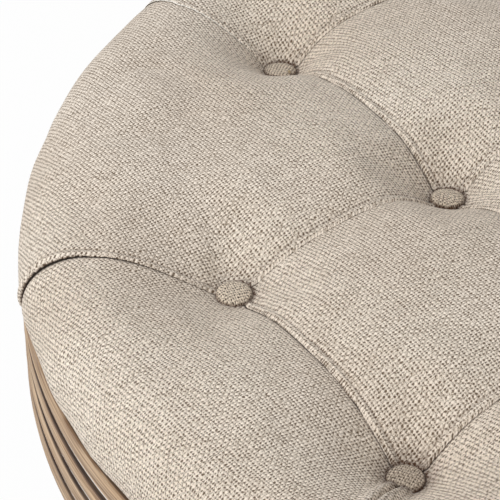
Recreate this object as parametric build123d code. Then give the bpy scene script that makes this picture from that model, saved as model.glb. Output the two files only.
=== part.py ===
"""Round tufted ottoman coffee table: a quilted linen top on a reeded oak rail and four turned legs.

The origin is on the floor under the middle of the table, +Z is up and all sizes are in millimetres.
The inner buttons of the tufting lie on the X and Y axes, and the legs stand on the diagonals.
"""

import os
from math import asin, atan2, cos, degrees, hypot, radians, sin, sqrt

from build123d import *

# Reeded rail
rail_radius = 457.0
rail_wall = 24.0
rail_floor_gap = 302.0
reed_count = 4
reed_face = 19.0
reed_crown = 1.6
groove_width = 5.5
groove_depth = 3.6

# Cushion before it is tufted
edge_setback = 0.5
edge_radius = 44.0
edge_drop = 11.0
crown_rise = 7.5

# Tufting: the spacing is a share of the rail's radius, and the panels' forms are shares of the spacing
tuft_spacing_share = 0.3096
fold_half_share = 0.438
fold_end_half_share = 0.466
dish_share = 0.622
dish_mid_share = 0.2686
foam_pit_top_share = 0.523
button_depth = 43.5
fold_depth = 13.0
fold_end_rise = 2.0
fold_start = 8.0
valley_lift = 2.0
dish_mid_rise = 25.5
dish_lip_rise = 8.0
dish_lift = 1.5
pleat_azimuth = 22.5
pleat_depth = 6.5
pleat_half_width = 30.0
pleat_wrap_slack = 2.0

# Cover, foam and deck
cover_padding = 20.0
soft_gap = 0.3
hem_thickness = 2.4
hem_width = 28.0
deck_inset = 6.0
deck_thickness = 18.0
foam_chamfer_rise = 9.0
foam_pit_depth = 6.0
foam_pit_radius = 16.0

# Covered buttons and their twine
button_radius = 12.5
button_rim = 2.2
button_dome = 4.6
button_well_gap = 1.0
twine_radius = 1.0
twine_sides = 6
twine_hole_radius = 2.2
deck_hole_radius = 3.0
washer_radius = 10.0
washer_thickness = 1.5
washer_sides = 16
knot_radius = 4.0
knot_height = 5.0

# Frame under the deck
fit_gap = 0.3
frame_recess = 18.5
block_width = 110.0
block_depth = 88.0
brace_thickness = 20.0
cleat_width = 20.0
cleat_height = 28.0
cleat_end_gap = 6.0
dust_cover_thickness = 0.8
dust_cover_margin = 12.0
dust_cover_leg_gap = 1.0
dowel_radius = 4.0
dowel_length = 36.0
dowel_spacing = 46.0
dowel_gap = 0.1

# Legs
leg_inset = 45.0
leg_top_radius = 30.0
leg_collar_gap = 5.5
leg_collar_height = 13.0
leg_collar_radius = 33.0
leg_neck_height = 9.0
leg_neck_radius = 25.0
leg_shaft_radius = 28.0
leg_shaft_swell = 1.5
leg_ankle_height = 30.0
leg_ankle_radius = 16.5
leg_foot_radius = 19.0
leg_foot_edge = 3.0

# Fixings of the legs and the deck
glide_radius = 15.0
glide_thickness = 5.0
glide_pin_radius = 1.5
glide_pin_length = 18.0
bolt_radius = 4.0
bolt_in_leg = 30.0
bolt_in_block = 26.0
bolt_gap = 0.1
insert_radius = 6.5
insert_length = 22.0
screw_radius = 2.5
screw_head_radius = 5.0
screw_head_height = 3.0
screw_tip_cover = 6.0
screw_margin = 13.0

# One overrun serves all cuts
overrun = 2.0

# Stations along a fold and along a pleat, as shares of its length
fold_station_shares = (0.0, 0.2, 0.5, 0.8, 1.0)
pleat_station_shares = (0.0, 0.3, 0.62, 1.0)

# Levels and radii that follow from the sizes above
rail_height = reed_count * reed_face + (reed_count - 1) * groove_width
rail_top = rail_floor_gap + rail_height
rail_inner_radius = rail_radius - rail_wall
cushion_radius = rail_radius - edge_setback
edge_level = rail_top + edge_drop
edge_centre_radius = cushion_radius - edge_radius
top_level = edge_level + edge_radius + crown_rise
seat_level = top_level - button_depth
tuft_spacing = tuft_spacing_share * rail_radius
fold_half_width = fold_half_share * tuft_spacing
fold_end_half_width = fold_end_half_share * tuft_spacing
dish_radius = dish_share * tuft_spacing
dish_mid_radius = dish_mid_share * tuft_spacing
foam_pit_top_radius = foam_pit_top_share * tuft_spacing
deck_top = rail_top - deck_inset
deck_bottom = deck_top - deck_thickness
deck_radius = rail_inner_radius - hem_thickness - 2 * soft_gap
hem_bottom = deck_bottom - hem_thickness
hem_radius = rail_inner_radius - soft_gap
hem_inner_radius = deck_radius - hem_width
well_radius = button_radius + button_well_gap
frame_radius = rail_inner_radius - fit_gap
frame_bottom = rail_floor_gap + frame_recess
block_height = deck_bottom - frame_bottom
block_inner_radius = rail_inner_radius - block_depth
leg_circle_radius = rail_inner_radius - leg_inset
screw_length = block_height + deck_thickness - screw_tip_cover
screw_spread = block_width / 2 - screw_margin
crown_height = edge_radius + crown_rise
crown_radius = (edge_centre_radius**2 + crown_height**2 - edge_radius**2) / (2 * crown_rise)
crown_tilt = asin(edge_centre_radius / (crown_radius - edge_radius))

rail_azimuths = {"left": 180, "front": 270, "right": 0, "back": 90}
leg_azimuths = {"front_left": 225, "front_right": 315, "back_right": 45, "back_left": 135}


def polar(radius, azimuth, level=0):
    """A point at a radius and an azimuth in degrees about the table's axis."""
    return Vector(radius * cos(radians(azimuth)), radius * sin(radians(azimuth)), level)


def turned(outline, angle=360):
    """The solid that an outline in the XZ plane sweeps about the table's axis."""
    return revolve(Plane.XZ * make_face(outline.edges()), Axis.Z, angle)


def upright(radius, low, high):
    """A round bar on the table's axis from the level low to the level high."""
    standing = (Align.CENTER, Align.CENTER, Align.MIN)
    return Pos(0, 0, low) * Cylinder(radius, high - low, align=standing)


def prism(radius, sides, low, high):
    """A bar on the table's axis with flat sides, from the level low to the level high."""
    return Pos(0, 0, low) * extrude(RegularPolygon(radius, sides), high - low)


def around(shape, places):
    """Copies of a shape that is made on the table's axis, one over each place in plan."""
    return [Pos(place.X, place.Y, 0) * shape for place in places]


# Layout of the tufting


def inner_buttons():
    """Places of the four buttons nearest the middle."""
    return [polar(tuft_spacing, quarter * 90) for quarter in range(4)]


def outer_buttons():
    """Places of the eight buttons of the outer round, in pairs about each axis."""
    radius = tuft_spacing * hypot(1, 2)
    offset = degrees(atan2(1, 2))
    return [polar(radius, quarter * 90 + side * offset) for quarter in range(4) for side in (-1, 1)]


def all_buttons():
    return inner_buttons() + outer_buttons()


def fold_ends():
    """Pairs of buttons at the two ends of a fold, which is one side of a square panel."""
    places = all_buttons()
    side = tuft_spacing * sqrt(2)
    return [
        (start, end)
        for index, start in enumerate(places)
        for end in places[index + 1:]
        if abs((end - start).length - side) < fold_start
    ]


# Cushion


def shoulder_end(inset=0):
    """Radius and level where the rounded shoulder runs over into the crown."""
    radius = edge_radius - inset
    return edge_centre_radius + radius * sin(crown_tilt), edge_level + radius * cos(crown_tilt)


def crown_level(radius, inset=0):
    """Level of the untufted crown over a radius, or of a surface that lies an inset inside it."""
    end_radius, end_level = shoulder_end(inset)
    middle = top_level - inset
    return middle - (middle - end_level) * (radius / end_radius) ** 2


def shoulder(inset=0):
    """Outline from the widest edge over the rounded shoulder to the middle of the crown."""
    radius = edge_radius - inset
    slant = radius / sqrt(2)
    widest = (edge_centre_radius + radius, edge_level)
    brow = (edge_centre_radius + slant, edge_level + slant)
    end = shoulder_end(inset)
    middle = (0, top_level - inset)
    return ThreePointArc(widest, brow, end) + Bezier(end, (end[0] / 2, top_level - inset), middle)


def cushion_block():
    """The cushion before tufting: crowned, round-edged, drawn in under the edge and hemmed below."""
    under_radius = cushion_radius - edge_drop
    slant = edge_drop / sqrt(2)
    under = ThreePointArc(
        (under_radius, rail_top),
        (under_radius + slant, edge_level - slant),
        (cushion_radius, edge_level),
    )
    inside = Polyline(
        (0, top_level),
        (0, hem_bottom),
        (hem_radius, hem_bottom),
        (hem_radius, rail_top),
        (under_radius, rail_top),
    )
    return turned(inside + under + shoulder())


def foam_block():
    """The foam pad before its pits are cut."""
    inside = Polyline(
        (0, crown_level(0, cover_padding)),
        (0, deck_top),
        (deck_radius, deck_top),
        (deck_radius, edge_level - foam_chamfer_rise),
        (cushion_radius - cover_padding, edge_level),
    )
    return turned(inside + shoulder(cover_padding))


def cover_hollow():
    """The room inside the cover for the foam and the deck, with the mouth that the hem leaves."""
    inset = cover_padding - soft_gap
    foot_radius = deck_radius + soft_gap
    inside = Polyline(
        (0, crown_level(0, inset)),
        (0, hem_bottom - overrun),
        (hem_inner_radius, hem_bottom - overrun),
        (hem_inner_radius, deck_bottom),
        (foot_radius, deck_bottom),
        (foot_radius, edge_level - foam_chamfer_rise - soft_gap),
        (cushion_radius - inset, edge_level),
    )
    return turned(inside + shoulder(inset))


def foam_pit(gap=0):
    """The cone that a button presses into the foam, made on the table's axis."""
    low = seat_level - foam_pit_depth + gap
    height = top_level - low
    cone = Cone(
        foam_pit_radius - gap,
        foam_pit_top_radius - gap,
        height,
        align=(Align.CENTER, Align.CENTER, Align.MIN),
    )
    return Pos(0, 0, low) * cone


def valley(place, along, depth, half_width, up=Vector(0, 0, 1)):
    """Section of a fold across its run: two pillow flanks that meet in a sharp crease."""
    height = depth + valley_lift
    flank = (half_width**2 + height**2) / (2 * height)
    half_angle = atan2(half_width, flank - height) / 2
    middle_x = half_width - flank * sin(half_angle)
    middle_y = valley_lift - flank * (1 - cos(half_angle))
    outline = (
        ThreePointArc((-half_width, valley_lift), (-middle_x, middle_y), (0, -depth))
        + ThreePointArc((0, -depth), (middle_x, middle_y), (half_width, valley_lift))
        + Line((half_width, valley_lift), (-half_width, valley_lift))
    )
    across = up.cross(along)
    return Plane(origin=place, x_dir=across, z_dir=along) * make_face(outline.edges())


def end_depth(place):
    """Depth of a crease where it runs into a button, below the crown there."""
    return crown_level(hypot(place.X, place.Y)) - seat_level - fold_end_rise


def fold_cut(start, end):
    """The fold between two buttons: shallow at its middle and deep at its ends."""
    along = (end - start).normalized()
    first = start + along * fold_start
    run = (end - start).length - 2 * fold_start
    sections = []
    for share in fold_station_shares:
        place = first + along * (run * share)
        swell = (2 * share - 1) ** 2
        depth = fold_depth + (end_depth(place) - fold_depth) * swell
        half_width = fold_half_width + (fold_end_half_width - fold_half_width) * swell
        surface = Vector(place.X, place.Y, crown_level(hypot(place.X, place.Y)))
        sections.append(valley(surface, along, depth, half_width))
    return loft(sections)


def pleat_cut(button, azimuth):
    """The pleat from an outer button to the edge, then down round the edge to the rail."""
    brow = polar(edge_centre_radius, azimuth)
    heading = (brow - button).normalized()
    outward = polar(1, azimuth)
    first = button + heading * fold_start
    sections = []
    for share in pleat_station_shares:
        place = first + (brow - first) * share
        swell = (1 - share) ** 2
        depth = pleat_depth + (end_depth(place) - pleat_depth) * swell
        half_width = pleat_half_width + (fold_end_half_width - pleat_half_width) * swell
        along = (heading * (1 - share) + outward * share).normalized()
        surface = Vector(place.X, place.Y, crown_level(hypot(place.X, place.Y)))
        sections.append(valley(surface, along, depth, half_width))
    wrap = 90 + degrees(asin(edge_drop / edge_radius)) + pleat_wrap_slack
    hinge = Axis(polar(edge_centre_radius, azimuth, edge_level), Vector(0, 0, 1).cross(outward))
    return loft(sections) + revolve(sections[-1], hinge, wrap)


def pleat_cuts():
    """One pleat for each outer button."""
    cuts = []
    for index, button in enumerate(outer_buttons()):
        side = 1 if index % 2 else -1
        cuts.append(pleat_cut(button, index // 2 * 90 + side * pleat_azimuth))
    return cuts


def button_dish():
    """The dished well in which a button sits, made on the table's axis."""
    rim_level = top_level + dish_lift
    lip_level = seat_level + dish_lip_rise
    arc = ThreePointArc(
        (well_radius, lip_level),
        (dish_mid_radius, seat_level + dish_mid_rise),
        (dish_radius, rim_level),
    )
    inside = Polyline(
        (dish_radius, rim_level),
        (0, rim_level),
        (0, seat_level),
        (well_radius, seat_level),
        (well_radius, lip_level),
    )
    return turned(inside + arc)


def quilted_cover():
    """The linen cover with its quilted padding, open below where the hem turns under the deck."""
    cover = cushion_block() - around(button_dish(), all_buttons())
    for start, end in fold_ends():
        cover -= fold_cut(start, end)
    for pleat in pleat_cuts():
        cover -= pleat
    hollow = cover_hollow() - around(foam_pit(soft_gap), all_buttons())
    twine_hole = upright(twine_hole_radius, deck_top, seat_level + overrun)
    return cover - hollow - around(twine_hole, all_buttons())


def foam_core():
    """The foam pad, pitted under each button and bored for the twines."""
    twine_hole = upright(twine_hole_radius, deck_top - overrun, seat_level)
    return foam_block() - around(foam_pit(), all_buttons()) - around(twine_hole, all_buttons())


# Buttons and twine


def tuft_button():
    """A covered button: a thin rim and a low dome, made on the table's axis."""
    rim_level = seat_level + button_rim
    slant_radius = button_radius / sqrt(2)
    crown = rim_level + button_dome
    dome_radius = (button_radius**2 + button_dome**2) / (2 * button_dome)
    slant_level = crown - dome_radius + sqrt(dome_radius**2 - slant_radius**2)
    outline = Polyline((0, crown), (0, seat_level), (button_radius, seat_level), (button_radius, rim_level))
    dome = ThreePointArc((button_radius, rim_level), (slant_radius, slant_level), (0, crown))
    return turned(outline + dome)


def twine():
    """A twine from its button down through foam and deck to the knot that holds it."""
    knot_top = deck_bottom - washer_thickness
    knot = prism(knot_radius, twine_sides, knot_top - knot_height, knot_top)
    return prism(twine_radius, twine_sides, knot_top, seat_level) + knot


def twine_washer():
    """The flat washer that spreads a knot's pull under the deck."""
    low = deck_bottom - washer_thickness
    hole = prism(deck_hole_radius, twine_sides, low - overrun, deck_bottom + overrun)
    return prism(washer_radius, washer_sides, low, deck_bottom) - hole


# Fixings of the deck and the legs


def on_block(azimuth, aside=0):
    """A place in plan on a leg block: on the leg's axis, or aside from it along the block."""
    return polar(leg_circle_radius, azimuth) + polar(1, azimuth + 90) * aside


def screw_places():
    """Two screws for each leg block, one each side of the leg."""
    return [
        on_block(azimuth, side * screw_spread)
        for azimuth in leg_azimuths.values()
        for side in (-1, 1)
    ]


def leg_places():
    return [on_block(azimuth) for azimuth in leg_azimuths.values()]


def deck_screw(gap=0):
    """A countersunk screw up through a leg block into the deck, or the hole for it with a gap."""
    outline = Polyline(
        (0, frame_bottom),
        (screw_head_radius + gap, frame_bottom),
        (screw_radius + gap, frame_bottom + screw_head_height),
        (screw_radius + gap, frame_bottom + screw_length + gap),
        (0, frame_bottom + screw_length + gap),
        close=True,
    )
    return turned(outline)


def leg_insert():
    """The threaded sleeve that a leg's bolt turns into, flush with the block's underside."""
    bore = upright(bolt_radius + bolt_gap, frame_bottom - overrun, frame_bottom + insert_length + overrun)
    return upright(insert_radius, frame_bottom, frame_bottom + insert_length) - bore


def hanger_bolt():
    """The double-ended bolt that joins a leg to its block."""
    return upright(bolt_radius, frame_bottom - bolt_in_leg, frame_bottom + bolt_in_block)


def foot_glide():
    """The glide under a leg, with the pin that holds it in the end grain."""
    pin = upright(glide_pin_radius, glide_thickness, glide_thickness + glide_pin_length)
    return upright(glide_radius, 0, glide_thickness) + pin


# Frame


def deck_board():
    """The round plywood deck, bored for the twines and drilled for the screws."""
    board = upright(deck_radius, deck_bottom, deck_top)
    twine_hole = upright(deck_hole_radius, deck_bottom - overrun, deck_top + overrun)
    board -= around(twine_hole, all_buttons())
    return board - around(deck_screw(bolt_gap), screw_places())


def hem_relief():
    """The shallow ring cut from the blocks where the cover's hem lies under the deck."""
    low = hem_bottom - soft_gap
    ring = upright(rail_radius, low, deck_bottom + overrun)
    return ring - upright(hem_inner_radius - soft_gap, low - overrun, deck_bottom + 2 * overrun)


def leg_block(azimuth):
    """The block inside the rail that carries a leg, fitted to the rail's curve."""
    box = Box(
        rail_radius - block_inner_radius,
        block_width,
        block_height,
        align=(Align.MIN, Align.CENTER, Align.MIN),
    )
    block = Rot(0, 0, azimuth) * Pos(block_inner_radius, 0, frame_bottom) * box
    block &= upright(frame_radius, frame_bottom, deck_bottom)
    sleeve_high = frame_bottom + insert_length + bolt_gap
    sleeve_hole = upright(insert_radius + bolt_gap, frame_bottom - overrun, sleeve_high)
    bolt_hole = upright(bolt_radius + bolt_gap, frame_bottom, frame_bottom + bolt_in_block + bolt_gap)
    screws = [on_block(azimuth, side * screw_spread) for side in (-1, 1)]
    return (
        block
        - hem_relief()
        - around(sleeve_hole, [on_block(azimuth)])
        - around(bolt_hole, [on_block(azimuth)])
        - around(deck_screw(bolt_gap), screws)
    )


def cross_brace(azimuth, notch_low, notch_high):
    """A board on edge between two opposite leg blocks, notched at its middle for the other one."""
    standing = (Align.CENTER, Align.CENTER, Align.MIN)
    board = Box(2 * block_inner_radius, brace_thickness, block_height, align=standing)
    notch_width = brace_thickness + 2 * fit_gap
    notch = Box(notch_width, brace_thickness + overrun, notch_high - notch_low, align=standing)
    return Rot(0, 0, azimuth) * (Pos(0, 0, frame_bottom) * board - Pos(0, 0, notch_low) * notch)


def deck_cleat(azimuth):
    """A curved cleat on the rail's inner face, which carries the deck's edge between two blocks."""
    inner_radius = frame_radius - cleat_width
    block_share = (block_width / 2 + cleat_end_gap) / inner_radius
    half_angle = 45 - degrees(asin(block_share))
    section = Polyline(
        (inner_radius, hem_bottom - cleat_height),
        (frame_radius, hem_bottom - cleat_height),
        (frame_radius, hem_bottom),
        (inner_radius, hem_bottom),
        close=True,
    )
    return Rot(0, 0, azimuth - half_angle) * turned(section, 2 * half_angle)


def reed_outline():
    """Outer outline of the rail from its lower to its upper edge: reeds parted by coved grooves."""
    flank_radius = rail_radius - reed_crown
    outline = Curve()
    low = rail_floor_gap
    for reed in range(reed_count):
        high = low + reed_face
        crown = (rail_radius, low + reed_face / 2)
        outline += ThreePointArc((flank_radius, low), crown, (flank_radius, high))
        if reed < reed_count - 1:
            floor = (rail_radius - groove_depth, high + groove_width / 2)
            outline += ThreePointArc((flank_radius, high), floor, (flank_radius, high + groove_width))
        low = high + groove_width
    return outline


def dowel_sockets(gap=0):
    """The dowels across the joint at azimuth zero, or the sockets for them with a gap."""
    middle_radius = (rail_radius + rail_inner_radius) / 2
    middle_level = (rail_floor_gap + rail_top) / 2
    bars = []
    for side in (-1, 1):
        place = Pos(middle_radius, 0, middle_level + side * dowel_spacing / 2)
        bars.append(place * Rot(90, 0, 0) * Cylinder(dowel_radius + gap, dowel_length + 2 * gap))
    return bars


def rail_quarter(azimuth):
    """A quarter of the reeded rail, which meets its neighbours behind the legs."""
    flank_radius = rail_radius - reed_crown
    back = Polyline(
        (flank_radius, rail_top),
        (rail_inner_radius, rail_top),
        (rail_inner_radius, rail_floor_gap),
        (flank_radius, rail_floor_gap),
    )
    quarter = turned(reed_outline() + back, 90)
    sockets = dowel_sockets(dowel_gap)
    quarter = quarter - sockets - [Rot(0, 0, 90) * socket for socket in sockets]
    return Rot(0, 0, azimuth - 45) * quarter


def dust_cover():
    """The thin cloth disc under the rail, cut out for the legs."""
    low = rail_floor_gap - dust_cover_thickness
    cloth = upright(rail_radius - dust_cover_margin, low, rail_floor_gap)
    hole = upright(leg_top_radius + dust_cover_leg_gap, low - overrun, rail_floor_gap + overrun)
    return cloth - around(hole, leg_places())


# Legs


def turned_leg():
    """A turned leg: collar, neck, tapered shaft and a small foot, made on the table's axis."""
    collar_top = rail_floor_gap - leg_collar_gap
    collar_low = collar_top - leg_collar_height
    neck_low = collar_low - leg_neck_height
    ankle_level = glide_thickness + leg_ankle_height
    foot_edge_level = glide_thickness + leg_foot_edge
    swell_radius = (leg_shaft_radius + leg_ankle_radius) / 2 + leg_shaft_swell
    foot_waist = (leg_foot_radius + leg_ankle_radius) / 2 - leg_shaft_swell / 2
    outline = (
        Polyline(
            (leg_top_radius, collar_top),
            (leg_top_radius, frame_bottom),
            (0, frame_bottom),
            (0, glide_thickness),
            (leg_foot_radius - leg_foot_edge, glide_thickness),
            (leg_foot_radius, foot_edge_level),
        )
        + ThreePointArc(
            (leg_foot_radius, foot_edge_level),
            (foot_waist, (foot_edge_level + ankle_level) / 2),
            (leg_ankle_radius, ankle_level),
        )
        + ThreePointArc(
            (leg_ankle_radius, ankle_level),
            (swell_radius, (ankle_level + neck_low) / 2),
            (leg_shaft_radius, neck_low),
        )
        + ThreePointArc(
            (leg_shaft_radius, neck_low),
            (leg_neck_radius, (neck_low + collar_low) / 2),
            (leg_top_radius, collar_low),
        )
        + ThreePointArc(
            (leg_top_radius, collar_low),
            (leg_collar_radius, (collar_low + collar_top) / 2),
            (leg_top_radius, collar_top),
        )
    )
    bolt_low = frame_bottom - bolt_in_leg - bolt_gap
    bolt_hole = upright(bolt_radius + bolt_gap, bolt_low, frame_bottom + overrun)
    pin_high = glide_thickness + glide_pin_length + bolt_gap
    pin_hole = upright(glide_pin_radius + bolt_gap, glide_thickness - overrun, pin_high)
    return turned(outline) - bolt_hole - pin_hole


# Nodes


def table_nodes():
    """Every piece of the table by the name of its node."""
    half_level = frame_bottom + block_height / 2
    dowels = [Rot(0, 0, azimuth) * bar for azimuth in leg_azimuths.values() for bar in dowel_sockets()]
    nodes = {
        "quilted_cover": quilted_cover(),
        "foam_core": foam_core(),
        "deck_board": deck_board(),
        "tuft_buttons": around(tuft_button(), all_buttons()),
        "button_twines": around(twine(), all_buttons()),
        "twine_washers": around(twine_washer(), all_buttons()),
        "rail_dowels": dowels,
        "cross_brace_lower": cross_brace(45, half_level, deck_bottom + overrun),
        "cross_brace_upper": cross_brace(135, frame_bottom - overrun, half_level),
        "deck_screws": around(deck_screw(), screw_places()),
        "leg_inserts": around(leg_insert(), leg_places()),
        "hanger_bolts": around(hanger_bolt(), leg_places()),
        "foot_glides": around(foot_glide(), leg_places()),
        "dust_cover": dust_cover(),
    }
    for side, azimuth in rail_azimuths.items():
        nodes["rail_" + side] = rail_quarter(azimuth)
        nodes["deck_cleat_" + side] = deck_cleat(azimuth)
    for corner, azimuth in leg_azimuths.items():
        nodes["leg_block_" + corner] = leg_block(azimuth)
        nodes["leg_" + corner] = around(turned_leg(), [on_block(azimuth)])[0]
    return nodes


os.makedirs("parts", exist_ok=True)
for name, shape in table_nodes().items():
    if isinstance(shape, list):
        shape = Compound(children=shape)
    export_step(shape, f"parts/{name}.step")
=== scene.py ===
"""Looks of the round tufted ottoman coffee table: linen, limed oak, white studio and the camera.

Lengths are in metres and angles in radians. The frame is the table's own: the origin is on the floor
under the middle, +Z is up, the inner buttons lie on the X and Y axes and the legs on the diagonals.
"""

from collections import namedtuple
from math import asin, cos, pi, radians, sin, sqrt, tau

import bmesh
import bpy
import numpy as np
from mathutils import Matrix, Vector


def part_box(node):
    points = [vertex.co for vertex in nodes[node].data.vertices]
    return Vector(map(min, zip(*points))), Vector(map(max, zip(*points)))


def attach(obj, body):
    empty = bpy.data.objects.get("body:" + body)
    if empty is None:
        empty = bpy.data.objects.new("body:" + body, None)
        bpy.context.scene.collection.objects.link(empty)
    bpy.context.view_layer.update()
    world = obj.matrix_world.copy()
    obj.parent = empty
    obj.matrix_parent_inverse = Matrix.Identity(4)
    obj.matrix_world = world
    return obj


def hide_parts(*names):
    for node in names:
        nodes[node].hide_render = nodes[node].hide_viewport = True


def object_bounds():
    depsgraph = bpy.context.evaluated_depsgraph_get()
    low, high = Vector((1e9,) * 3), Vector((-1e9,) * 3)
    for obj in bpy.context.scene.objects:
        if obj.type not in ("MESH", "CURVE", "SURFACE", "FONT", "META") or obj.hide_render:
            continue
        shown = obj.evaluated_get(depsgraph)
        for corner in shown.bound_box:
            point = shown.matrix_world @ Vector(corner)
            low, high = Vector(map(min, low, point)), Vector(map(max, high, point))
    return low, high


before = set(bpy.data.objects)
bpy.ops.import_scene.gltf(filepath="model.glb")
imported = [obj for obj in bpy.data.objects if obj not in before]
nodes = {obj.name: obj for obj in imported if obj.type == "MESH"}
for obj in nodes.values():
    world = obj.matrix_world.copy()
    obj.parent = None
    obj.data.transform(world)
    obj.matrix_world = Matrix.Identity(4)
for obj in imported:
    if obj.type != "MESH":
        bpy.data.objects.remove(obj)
cad_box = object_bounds()

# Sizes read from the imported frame
rail_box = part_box("rail_left")
button_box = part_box("tuft_buttons")
dust_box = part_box("dust_cover")
deck_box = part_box("deck_board")
rail_radius = -rail_box[0].x
rail_low = rail_box[0].z
rail_top = rail_box[1].z
top_level = cad_box[1].z
seat_level = button_box[0].z
deck_low = deck_box[0].z
deck_top = deck_box[1].z
deck_radius = deck_box[1].x

# Rail
rail_wall = 0.024
reed_face = 0.019
groove_width = 0.0055
lime_and_highlight_width = 0.0025
contact_shadow_reach = 0.0078
contact_shadow_fade = 0.0012

# Cushion before tufting
edge_radius = 0.044
edge_drop = 0.011
edge_setback = 0.0005
crown_rise = 0.0075
hem_thickness = 0.0024
hem_width = 0.028
soft_gap = 0.0003
padding_thickness = 0.004
padding_unevenness = 0.0007
padding_waves = ((61, 23, 1.3), (-37, 71, 4.1), (97, -52, 2.2))
tuck_calm_share = 0.7

# Tufting
tuft_spacing_share = 0.3096
tuft_spacing = tuft_spacing_share * rail_radius
fold_mid_depth = 0.0135
fold_end_reach = 0.045
fold_mid_reach = 0.088
fold_fall = 2.3
dish_reach = 0.098
dish_falls = (1.7, 1.7, 1.8, 1.7, 1.7, 1.7, 1.7, 1.7, 2.1, 1.5, 1.7, 1.7)
dish_floor_radius = 0.0139
seat_floor_radius = 0.0105
seat_sink = 0.0030
hidden_well_spread = 0.008
pleat_valley_run = 0.095
pleat_valley_depth = 0.001
pleat_reach = 0.028
pleat_azimuth = radians(22.5)
pleat_lean = radians(-3.0)
blend_power = 5.0

# Hand work: how far each button lies from its regular place in plan, how much higher it sits and how far it
# tilts, and how much painted shade darkens it. The order is the inner four from +X on, then the outer eight
# in pairs about +X, +Y, -X and -Y.
button_shifts = (
    (0.001, -0.002),
    (-0.001, 0.002),
    (0.0003, 0.0026),
    (0.002, 0.001),
    (-0.001, 0.001),
    (0.002, 0.0),
    (0.001, -0.002),
    (-0.002, 0.001),
    (-0.0083, 0.0060),
    (0.0044, 0.0008),
    (0.0022, -0.0052),
    (-0.001, 0.002),
)
button_lifts = (0.0, 0.001, -0.001, 0.001, 0.0, 0.002, 0.001, 0.0, -0.005, 0.008, -0.003, 0.0)
button_tilts = (0.0, 0.05, 0.14, 0.0, 0.0, 0.05, 0.0, 0.05, 0.2, 0.0, 0.03, 0.0)
button_shades = (0.0, 0.0, 0.05, 0.0, 0.0, 0.05, 0.0, 0.0, 0.05, 0.0, 0.32, 0.0)

# Puckers: the number of the button that each runs out from, and its azimuth in degrees
puckers = ((9, 116.0),)
pucker_start = 0.030
pucker_end = 0.115
pucker_depth = 0.0028
pucker_ridge = 0.0012
pucker_spread = 0.011
pucker_ridge_share = 1.8

# Cloth simulation of the cover between its folds
cloth_voxel = 0.008
cloth_pressure = 4.0
cloth_frames = 20
cloth_cap = 0.005
cloth_quality = 4
cloth_slack = 0.012
cloth_mass = 0.2
cloth_stiffness = 15.0
cloth_bending = 0.5
cloth_pin_gap = 0.007
cloth_free_gap = 0.027
cloth_clearance = 0.008
cloth_facing = 0.15
cloth_blur = 6
cloth_least_count = 1e-6

# Laps of one panel over the next
lip_width = 0.0016
lip_thickness = 0.00135
lip_lift = 0.0013
lip_ridge = 0.0014
lip_spread = 0.0022
lip_valley = 0.0050
lip_valley_depth = 0.0009
lip_valley_spread = 0.0010
lip_shares = ((0.55, 0.03), (0.95, 0.35), (1.0, 0.7), (0.6, 1.0))
lip_unevenness = 0.35
lip_beat = 900.0
lip_beat_sway = 300.0
lip_beat_drift = 9.0
lip_beat_length = 410.0
lip_weave_shares = (1.0, 0.4, 0.0)
nearly_nothing = 1e-12
lap_drop = 0.0019
lap_reach = 0.006
rim_bulge = 0.0036
rim_bulge_reach = 0.060
rim_lap_drop = 0.0050
rim_lap_reach = 0.016
rim_lip_growth = 1.4
roll_height = 0.0080
roll_ridge = 0.0044
roll_spread = 0.0040
roll_start = 0.003
roll_full_start = 0.013
roll_full_end = 0.030
roll_end = 0.090

# How tightly the folds and pleats are drawn in, which also sets how dark the painted shade in them is, where
# a pleat's lip has a painted highlight, and how far the pleats stand open at the rim
soft_folds = {(2, 9): 0.25, (1, 2): 0.35, (2, 3): 0.35, (7, 8): 0.6}
soft_pleat_start = 0.15
soft_drop_share = 0.15
rolled_pleat = 6
pleat_tight_shares = (1.0, 1.0, 1.0, 1.0, 0.06, 1.0, 0.8, 1.0)
pleat_edge_highlight_shares = (0.0, 0.0, 0.0, 0.0, 0.8, 0.0, 0.0, 0.0)
pleat_openness = (0.7, 0.8, 0.7, 0.6, 0.3, 1.0, 0.8, 0.6)
pleat_tight_run = 0.330
pleat_opening_run = 0.400
pleat_open_run = 0.452

# Shade in the creases and round the buttons
lip_shade = 0.3
lip_shades = (0.0, 0.12, 0.75, 0.95)
crease_shade = 0.7
crease_spread = 0.0009
rim_crease_spread = 0.0022
button_shade = 0.85
button_ring_width = 0.0013
button_halo_width = 0.018
button_halos = (0.2, 0.2, 0.2, 0.2, 0.2, 0.2, 0.2, 0.2, 0.2, 0.2, 0.5, 0.2)

# Fineness of the cover's mesh
fold_steps = 80
fold_grading = 0.087
crown_steps = 48
crown_grading = 1.6
shoulder_steps = 30
lining_steps = 36

# Weave
weave_azimuth = radians(47.5)
panel_turn = radians(2.5)
panel_turn_step = 2.4
panel_move_threads = 10
warp_pitch = 0.00285
weft_pitch = 0.00205
drift_scale = 130.0
drift_length = 0.0016
slub_scale = 1.7
slub_run_share = 0.07
spacing_noise_share = 0.4
spacing_spread = 1.0
hole_size_spread = 1.5
thread_round_power = 0.7
thread_round_middle = 0.7
thread_turn_blur = 0.12
fibre_scale = 1500.0
middle_tone = 0.66
warp_contrast = 0.24
weft_contrast = 0.06
hole_contrast = -0.7
hole_middle = 0.25
turn_contrast = 0.235
twist_share = 0.5
crossing_contrast = 0.29
yarn_contrast = 0.8
fibre_contrast = 2.0
spacing_slots = (11.0, 15.0)
slub_slots = (7.0, 0.0)
pit_range = (0.35, 0.8)

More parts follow.
